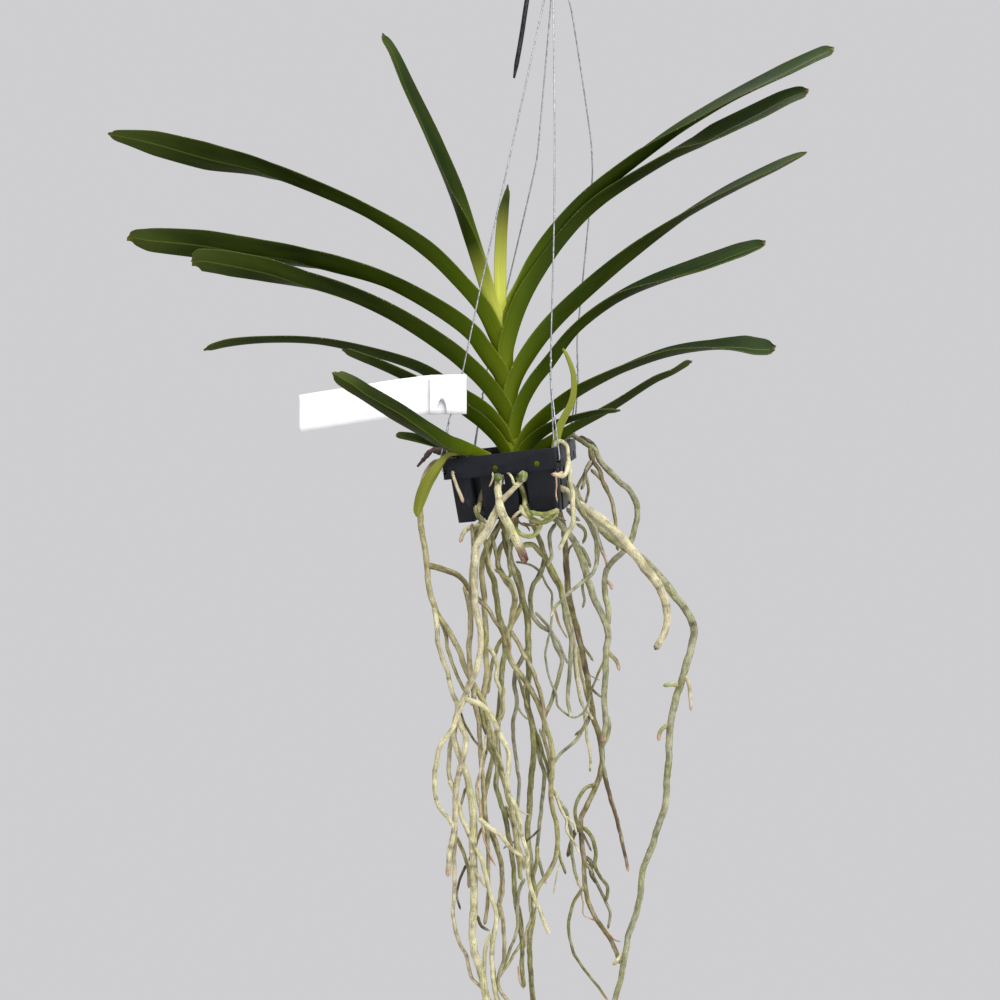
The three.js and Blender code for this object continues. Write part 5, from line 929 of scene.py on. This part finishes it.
        ((0.9, 0.7), "khaki", "plain", "510,815,-16 514,829 518,843 522.5,856 524,870"),
        ((0.9, 0.7), "olive", "plain", "505.5,805.5,-8 511,819.5 517,832 518,850 519.5,864"),
        ((0.8, 0.6), "brown", "plain", "518,903.5,-10 520.5,914.5 523,931.5 524.5,948.5"),
    ],
}


def hue(red, green, blue):
    """Linear colour of screen values from 0 to 255."""
    value = np.array([red, green, blue]) / 255
    return np.where(value <= 0.04045, value / 12.92, ((value + 0.055) / 1.055) ** 2.4)


SKINS = {
    "cream": hue(222, 214, 174), "khaki": hue(170, 160, 116), "olive": hue(112, 110, 66),
    "grey": hue(148, 148, 122), "brown": hue(112, 90, 64), "green": hue(164, 168, 88),
    "rose": hue(214, 172, 150), "dark": hue(64, 52, 40), "bud": hue(66, 100, 10),
}
TIPS = {
    "pink": hue(216, 172, 152), "red": hue(92, 20, 32), "dark": hue(58, 46, 38),
    "green": hue(120, 148, 52), "pale": hue(236, 228, 204),
}
TIP_REACHES = {"red": 13.0, "pink": 5.0, "dark": 3.0, "green": 6.0, "pale": 5.0}
JOINT_BROWN = hue(62, 44, 32)
JOINT_SPACING = 34        # mean distance between the dark joints of a root
JOINT_HALF = 0.9


def route_points(route):
    """Column, row and depth of each word of a route."""
    points = []
    for word in route.split():
        numbers = [float(number) for number in word.split(",")]
        points.append(numbers if len(numbers) == 3 else [*numbers, points[-1][2]])
    return points


def strand_skin(strand, seed):
    """Rod along a root's route, in lumps, with its skin's colour in light and dark stretches and a
    few dark joints. The last stretch fades into the tip's own colour."""
    (thick, thin), widths, inside, route, skin, tip = strand
    points = seen(route_points(route))
    if inside:
        points = np.vstack([in_basket(inside), points])
    line, distance = even_line(points, ROOT_STEP)
    places, _, run = measured(points, 1500)
    knots = np.arange(len(points))
    swell = np.array(widths or (1,))[np.minimum(knots, len(widths or (1,)) - 1)]
    outside = np.clip((knots - len(inside)) / ROOT_SWELL_POINTS, 0, 1) if inside else np.ones(len(points))
    radii = np.linspace(thick, thin, len(points)) * swell * (1 + (ROOT_SWELL - 1) * outside)
    radius = np.interp(np.interp(distance, run, places) * knots[-1], knots, radii)
    along, across, third = square_to(line)
    sway = np.minimum(distance, distance[-1] - distance).clip(0, SWAY_EASE)[:, None] / SWAY_EASE
    line = line + sway * (ROOT_SWAY * waves(distance, (11, 17, 29), seed)[:, None] * across
                          + ROOT_SWAY * waves(distance, (9, 15, 26), seed + 500)[:, None] * third)
    radius = radius * (1 + ROOT_LUMPS * waves(distance, (3.7, 6.1, 13, 24), seed + 900))
    radius = radius * rounded_ends(distance, radius)
    made = rod_skin(line, radius, 10, seed)
    light = 1 + 0.3 * waves(distance, (6, 13, 29), seed + 300)
    colour = SKINS[skin] * light[:, None]
    fade = 0.22 + 0.22 * waves(distance, (23, 61), seed + 700)
    colour = colour + (SKINS["green" if seed % 3 else "brown"] - colour) * fade[:, None]
    joints = np.random.default_rng(seed + 1100).uniform(0, distance[-1], int(distance[-1] / JOINT_SPACING))
    for joint in joints:
        dark = 0.6 * np.exp(-((distance - joint) / JOINT_HALF) ** 2)
        colour = colour + (JOINT_BROWN - colour) * dark[:, None]
    if tip in TIPS:
        last = np.clip(1 - (distance[-1] - distance) / TIP_REACHES[tip], 0, 1)[:, None] ** 0.7
        colour = colour + (TIPS[tip] - colour) * np.minimum(1.3 * last, 1)
    made["skin"] = np.broadcast_to(colour[:, None], made["rings"].shape).copy()
    return made


# Materials

class Paint:
    """A material in the making. Each method adds one node and hands back its output."""

    def __init__(self, name, roughness, **settings):
        self.material = bpy.data.materials.new(name)
        self.material.use_nodes = True
        self.tree = self.material.node_tree
        self.surface = self.tree.nodes["Principled BSDF"]
        self.surface.inputs["Roughness"].default_value = roughness
        for socket, value in settings.items():
            self.surface.inputs[socket.replace("_", " ")].default_value = value

    def plug(self, socket, value):
        if isinstance(value, bpy.types.NodeSocket):
            self.tree.links.new(value, socket)
        elif socket.type == "RGBA" and value is not None:
            socket.default_value = (*value, 1)
        elif value is not None:
            socket.default_value = value

    def node(self, kind, **settings):
        made = self.tree.nodes.new(kind)
        for key, value in settings.items():
            setattr(made, key, value)
        return made

    def value(self, name):
        return self.node("ShaderNodeAttribute", attribute_name=name).outputs["Fac"]

    def vector(self, name):
        return self.node("ShaderNodeAttribute", attribute_name=name).outputs["Vector"]

    def colour(self, name):
        return self.node("ShaderNodeAttribute", attribute_name=name).outputs["Color"]

    def place(self):
        return self.node("ShaderNodeTexCoord").outputs["Object"]

    def stretched(self, vector, scale):
        made = self.node("ShaderNodeMapping")
        self.plug(made.inputs["Vector"], vector)
        made.inputs["Scale"].default_value = scale
        return made.outputs["Vector"]

    def noise(self, vector, scale, detail=3.0, roughness=0.5):
        made = self.node("ShaderNodeTexNoise")
        self.plug(made.inputs["Vector"], vector)
        for socket, value in (("Scale", scale), ("Detail", detail), ("Roughness", roughness)):
            made.inputs[socket].default_value = value
        return made.outputs["Fac"]

    def between(self, value, low, high, to_low=0.0, to_high=1.0):
        """Straight line from one range to the other, held at its ends."""
        made = self.node("ShaderNodeMapRange")
        for socket, given in (("Value", value), ("From Min", low), ("From Max", high),
                              ("To Min", to_low), ("To Max", to_high)):
            self.plug(made.inputs[socket], given)
        return made.outputs["Result"]

    def sum(self, kind, first, second):
        made = self.node("ShaderNodeMath", operation=kind)
        self.plug(made.inputs[0], first)
        self.plug(made.inputs[1], second)
        return made.outputs[0]

    def mix(self, share, first, second):
        made = self.node("ShaderNodeMix", data_type="RGBA")
        colours = [socket for socket in made.inputs if socket.type == "RGBA"]
        self.plug(made.inputs["Factor"], share)
        self.plug(colours[0], first)
        self.plug(colours[1], second)
        return next(socket for socket in made.outputs if socket.type == "RGBA")

    def ramp(self, value, *stops):
        made = self.node("ShaderNodeValToRGB")
        self.plug(made.inputs["Fac"], value)
        elements = made.color_ramp.elements
        for _ in stops[2:]:
            elements.new(0.5)
        for element, (position, shade) in zip(elements, stops):
            element.position = position
            element.color = (*shade, 1)
        return made.outputs["Color"]

    def done(self, colour=None, roughness=None, height=None, strength=0.3, depth=0.0003):
        self.plug(self.surface.inputs["Base Color"], colour)
        self.plug(self.surface.inputs["Roughness"], roughness)
        if height is not None:
            bump = self.node("ShaderNodeBump")
            bump.inputs["Strength"].default_value = strength
            bump.inputs["Distance"].default_value = depth
            self.plug(bump.inputs["Height"], height)
            self.plug(self.surface.inputs["Normal"], bump.outputs["Normal"])
        return self.material


def leaf_paint(name, young=0, yellow_to=1.0, green_from=2.0):
    """Waxy green: lighter towards the sheath, the upper face bluer and the underside mostly darker, that
    darkness in part painted shade, with fine veins along the leaf, a pale keel and a thin pale margin, in
    part a painted edge highlight, with a few dots. The share of young yellow falls to none between two
    shares of the leaf's length."""
    paint = Paint(name, 0.42, Specular_IOR_Level=0.06)
    strip = paint.vector("strip")
    growth = paint.value("growth")
    across = paint.sum("ABSOLUTE", paint.value("across"), 0)
    # The underside's colour along the leaf: its own green, darkened in part as painted shade on undersides
    # that turn down from the light
    under = paint.ramp(
        growth,
        (0.0, hue(136, 142, 30)), (0.1, hue(94, 108, 12)), (0.2, hue(66, 84, 2)),
        (0.32, hue(42, 56, 1)), (0.6, hue(18, 27, 1)), (0.85, hue(32, 42, 8)), (1.0, hue(62, 72, 32)),
    )
    upper = paint.ramp(
        growth,
        (0.0, hue(176, 188, 62)), (0.15, hue(150, 166, 44)), (0.28, hue(84, 106, 20)),
        (0.5, hue(28, 44, 12)), (0.8, hue(26, 40, 18)), (1.0, hue(44, 60, 30)),
    )
    colour = paint.mix(paint.value("upper"), under, upper)
    if young:
        share = paint.between(growth, yellow_to, green_from, young, 0.0)
        colour = paint.mix(share, colour, hue(222, 226, 98))
    veins = paint.noise(paint.stretched(strip, (1.7, 1.0, 0.012)), 1.0, 4, 0.6)
    patches = paint.noise(paint.stretched(strip, (0.09, 0.3, 0.02)), 1.0, 3, 0.55)
    dots = paint.noise(paint.stretched(strip, (0.9, 0.9, 0.7)), 1.0, 2, 0.5)
    colour = paint.mix(paint.between(veins, 0.35, 0.65, 0.0, 0.25), colour, hue(36, 54, 8))
    colour = paint.mix(paint.between(patches, 0.35, 0.7, 0.0, 0.12), colour, hue(112, 126, 34))
    keel = paint.between(across, 0.0, 0.07, 0.3, 0.0)
    colour = paint.mix(keel, colour, hue(132, 148, 60))
    # Thin pale margin: in part the leaf's own pale edge, in part a painted edge highlight
    margin = paint.between(across, 0.95, 1.0, 0.0, 0.12)
    colour = paint.mix(margin, colour, hue(168, 178, 96))
    near_margin = paint.between(across, 0.9, 0.98, 0.0, 0.4)
    dotted = paint.sum("MULTIPLY", paint.between(dots, 0.64, 0.69), near_margin)
    colour = paint.mix(dotted, colour, hue(206, 208, 150))
    tip = paint.between(growth, 0.985, 1.0, 0.0, 0.6)
    colour = paint.mix(tip, colour, hue(120, 104, 48))
    return paint.done(colour, paint.between(patches, 0.3, 0.7, 0.38, 0.5), veins, 0.35, 0.00025)


def root_paint():
    """Dull papery root skin: its strand's colour in patches, the raised ones lighter cream and the low ones
    darker, mottling that is in part painted highlight and painted shade, with dark specks and faint
    streaks.
    """
    paint = Paint("root_skin", 0.8)
    strip = paint.vector("strip")
    patches = paint.noise(paint.stretched(strip, (0.35, 0.35, 0.12)), 1.0, 5, 0.65)
    streaks = paint.noise(paint.stretched(strip, (2.2, 2.2, 0.22)), 1.0, 4, 0.6)
    specks = paint.noise(paint.stretched(strip, (1.5, 1.5, 0.9)), 1.0, 2, 0.5)
    colour = paint.colour("skin")
    # Lighter cream on the raised patches: mottling, and in part a painted highlight
    colour = paint.mix(paint.between(patches, 0.48, 0.7, 0.0, 0.6), colour, hue(214, 208, 178))
    # Darker on the low patches: mottling, and in part painted shade in the hollows
    colour = paint.mix(paint.between(patches, 0.5, 0.28, 0.0, 0.65), colour, hue(78, 70, 42))
    colour = paint.mix(paint.between(streaks, 0.48, 0.66, 0.0, 0.5), colour, hue(66, 56, 38))
    colour = paint.mix(paint.between(specks, 0.62, 0.7, 0.0, 0.7), colour, hue(54, 44, 32))
    height = paint.sum("ADD", patches, streaks)
    return paint.done(colour, paint.between(patches, 0.3, 0.7, 0.72, 0.9), height, 0.5, 0.0004)


def plastic_paint():
    """Slate plastic with faint mottling, mould grain and a few pale grey scuffs."""
    paint = Paint("basket_plastic", 0.45, Specular_IOR_Level=0.3)
    place = paint.place()
    cloud = paint.noise(place, 60, 4, 0.6)
    grain = paint.noise(place, 1500, 2, 0.5)
    scuffs = paint.noise(paint.stretched(place, (300, 300, 60)), 1.0, 4, 0.65)
    colour = paint.mix(paint.between(cloud, 0.35, 0.65), hue(13, 15, 20), hue(24, 27, 36))
    colour = paint.mix(paint.between(scuffs, 0.62, 0.8, 0.0, 0.3), colour, hue(110, 112, 118))
    return paint.done(colour, paint.between(cloud, 0.3, 0.7, 0.38, 0.55), grain, 0.12, 0.0001)


def metal_paint(name, light, dark, roughness, metallic):
    paint = Paint(name, roughness, Metallic=metallic)
    place = paint.place()
    cloud = paint.noise(place, 500, 4, 0.6)
    fine = paint.noise(place, 4000, 2, 0.5)
    colour = paint.mix(paint.between(cloud, 0.35, 0.65), dark, light)
    dull = paint.between(cloud, 0.3, 0.7, roughness - 0.08, roughness + 0.12)
    return paint.done(colour, dull, fine, 0.2, 0.00005)


def film_paint():
    """White film with a faint cloudiness and slight waves."""
    paint = Paint("label_film", 0.35)
    place = paint.place()
    cloud = paint.noise(place, 45, 3, 0.5)
    colour = paint.mix(paint.between(cloud, 0.3, 0.7), hue(238, 239, 241), hue(248, 248, 249))
    return paint.done(colour, paint.between(cloud, 0.3, 0.7, 0.3, 0.42), cloud, 0.15, 0.0006)


def dry_paint():
    """Shrivelled dead shoot: nearly black, with grey ridges."""
    paint = Paint("dried_shoot", 0.85)
    strip = paint.vector("strip")
    ridges = paint.noise(paint.stretched(strip, (2.5, 2.5, 0.3)), 1.0, 4, 0.6)
    colour = paint.mix(paint.between(ridges, 0.4, 0.65), hue(34, 28, 26), hue(98, 76, 68))
    return paint.done(colour, None, ridges, 0.6, 0.0005)


leaf_green = leaf_paint("leaf_green")
leaf_young = leaf_paint("leaf_young", 0.92, 0.3, 0.9)
leaf_crown = leaf_paint("leaf_crown", 0.72, 0.13, 0.34)
leaf_thin = leaf_paint("leaf_thin", 0.3)
root_skin = root_paint()
plastic = plastic_paint()
zinc = metal_paint("wire_zinc", hue(196, 198, 200), hue(140, 142, 144), 0.34, 1.0)
dark_steel = metal_paint("hook_steel", hue(66, 66, 68), hue(36, 36, 38), 0.42, 0.9)
film = film_paint()
dry = dry_paint()


# The object

for wire in WIRE_ROUTES:
    piece(f"hanging_wire_{wire}", wire_skins(wire), zinc, "wire_steel", f"wire_{wire}")
piece("hook_rod", hook_skins(), dark_steel, "hook_steel", "hook")
piece("blank_label", [label_skin()], film, "label_film", "label")

LEAF_PAINTS = {
    "leaf_crown_young": leaf_young, "leaf_crown_left": leaf_crown,
    "leaf_low_drooping": leaf_thin, "leaf_low_right": leaf_thin,
}
for leaf in LEAVES:
    piece(f"{leaf}_blade", [blade_skin(leaf, False)], LEAF_PAINTS.get(leaf, leaf_green), "leaf", leaf)
for leaf, paint in LEAF_PAINTS.items():
    piece(f"{leaf}_sheath", [blade_skin(leaf, True)], paint, "stem", "stem")
piece("leaf_sheaths", [blade_skin(leaf, True) for leaf in LEAVES if leaf not in LEAF_PAINTS],
      leaf_green, "stem", "stem")


def plain_growth(skin, growth):
    """Values that a stem's skin needs to take the leaf's paint, as at one distance along a leaf."""
    shape = skin["rings"].shape[:2]
    return {
        **skin,
        "across": np.full(shape, 0.5), "growth": np.full(shape, growth), "upper": np.zeros(shape),
    }


piece("stem_core", [
    plain_growth(stalk_skin(STEM_AXIS, STEM_RADII, 1), 0.02),
    plain_growth(stalk_skin(LEFT_SHOOT, LEFT_SHOOT_RADII, 2), 0.05),
    plain_growth(stalk_skin(RIGHT_SHOOT, RIGHT_SHOOT_RADII, 3), 0.05),
], leaf_green, "stem", "stem")
piece("dried_shoot", [stalk_skin(DRIED_STUB, DRIED_STUB_RADII, 4, 0.3, 0.6, 10)], dry, "stem", "stem")

seed = 0
for bunch, strands in ROOTS.items():
    skins = []
    for strand in strands:
        seed += 1
        skins.append(strand_skin(strand, seed))
    piece(f"{bunch}_grown", skins, root_skin, "root", bunch)
for bunch, strands in FINE_ROOTS.items():
    skins = []
    for radii, skin, tip, route in strands:
        seed += 1
        skins.append(strand_skin((radii, (), [], route, skin, tip), seed))
    piece(f"fine_roots_{bunch}", skins, root_skin, "root")


# The basket's edges, in metres
SAME_POINT = 2e-6
EDGE_ROUND = 0.00035
FLAT_ANGLE, SHARP_ANGLE = np.radians([1.5, 35])


def moulded_basket():
    """A merged copy of the basket's solid with its flat faces joined and its edges rounded."""
    made = bpy.data.objects.new("moulded_basket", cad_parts["basket"].data.copy())
    bpy.context.scene.collection.objects.link(made)
    shape = bmesh.new()
    shape.from_mesh(made.data)
    bmesh.ops.remove_doubles(shape, verts=shape.verts, dist=SAME_POINT)
    bmesh.ops.dissolve_limit(shape, angle_limit=FLAT_ANGLE, verts=shape.verts, edges=shape.edges)
    shape.to_mesh(made.data)
    shape.free()
    made.data.materials.clear()
    made.data.materials.append(plastic)
    made.data.polygons.foreach_set("use_smooth", np.ones(len(made.data.polygons), bool))
    bevel = made.modifiers.new("soft_edges", "BEVEL")
    bevel.width = EDGE_ROUND
    bevel.segments = 2
    bevel.limit_method = "ANGLE"
    bevel.angle_limit = SHARP_ANGLE
    bevel.harden_normals = True
    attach(made, "root")
    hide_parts("basket")
    return made


moulded_basket()


# Camera, light and floor

camera = bpy.data.objects.new("camera", bpy.data.cameras.new("camera"))
camera.data.sensor_width = 36
camera.data.lens = 36 * VIEW_DISTANCE / (2 * PICTURE_CENTRE * PIXEL)
camera.location = np.array([-HANG[0], -VIEW_DISTANCE, EYE_HEIGHT - HANG[2]]) / 1000
camera.rotation_euler = (np.pi / 2, 0, 0)
camera.data.clip_start = 0.05
camera.data.clip_end = 30
bpy.context.scene.collection.objects.link(camera)
bpy.context.scene.camera = camera

FLOOR_HEIGHT = -1.35


def area_light(name, place, size, watts, tint=(1, 1, 1), aim=(-0.04, 0.0, -0.4)):
    light = bpy.data.lights.new(name, "AREA")
    light.size = size
    light.energy = watts
    light.color = tint
    made = bpy.data.objects.new(name, light)
    made.location = place
    made.rotation_euler = (Vector(aim) - Vector(place)).to_track_quat("-Z", "Y").to_euler()
    bpy.context.scene.collection.objects.link(made)


# Lights: place, size and watts
area_light("key", (0.35, -1.35, 1.15), 1.2, 30, (1.0, 0.99, 0.97))
area_light("fill", (1.3, -1.2, -0.4), 1.4, 10, (0.96, 0.98, 1.0))
area_light("top", (0.1, 0.3, 1.7), 1.4, 30)

# Pale all round, and dimmer from below
world = bpy.data.worlds.new("pale_room")
world.use_nodes = True
nodes, links = world.node_tree.nodes, world.node_tree.links
way = nodes.new("ShaderNodeTexCoord")
height = nodes.new("ShaderNodeSeparateXYZ")
shade = nodes.new("ShaderNodeValToRGB")
BELOW, ABOVE = (0.12, 0.12, 0.12, 1), (0.62, 0.615, 0.63, 1)
for element, position, colour in zip(shade.color_ramp.elements, (0.12, 0.34), (BELOW, ABOVE)):
    element.position = position
    element.color = colour
lift = nodes.new("ShaderNodeMapRange")
lift.inputs["From Min"].default_value = -1.0
links.new(way.outputs["Generated"], height.inputs["Vector"])
links.new(height.outputs["Z"], lift.inputs["Value"])
links.new(lift.outputs["Result"], shade.inputs["Fac"])
links.new(shade.outputs["Color"], nodes["Background"].inputs["Color"])
bpy.context.scene.world = world
bpy.context.scene.view_settings.view_transform = "Standard"

floor_mesh = bpy.data.meshes.new("floor")
floor_mesh.from_pydata([(x * 1.6, y * 1.6, FLOOR_HEIGHT) for x, y in ((-1, -1), (1, -1), (1, 1), (-1, 1))],
                       [], [(0, 1, 2, 3)])
floor = bpy.data.objects.new("floor", floor_mesh)
floor_paint = Paint("floor_paint", 0.85)
floor_mesh.materials.append(floor_paint.done(hue(214, 213, 214)))
bpy.context.scene.collection.objects.link(floor)
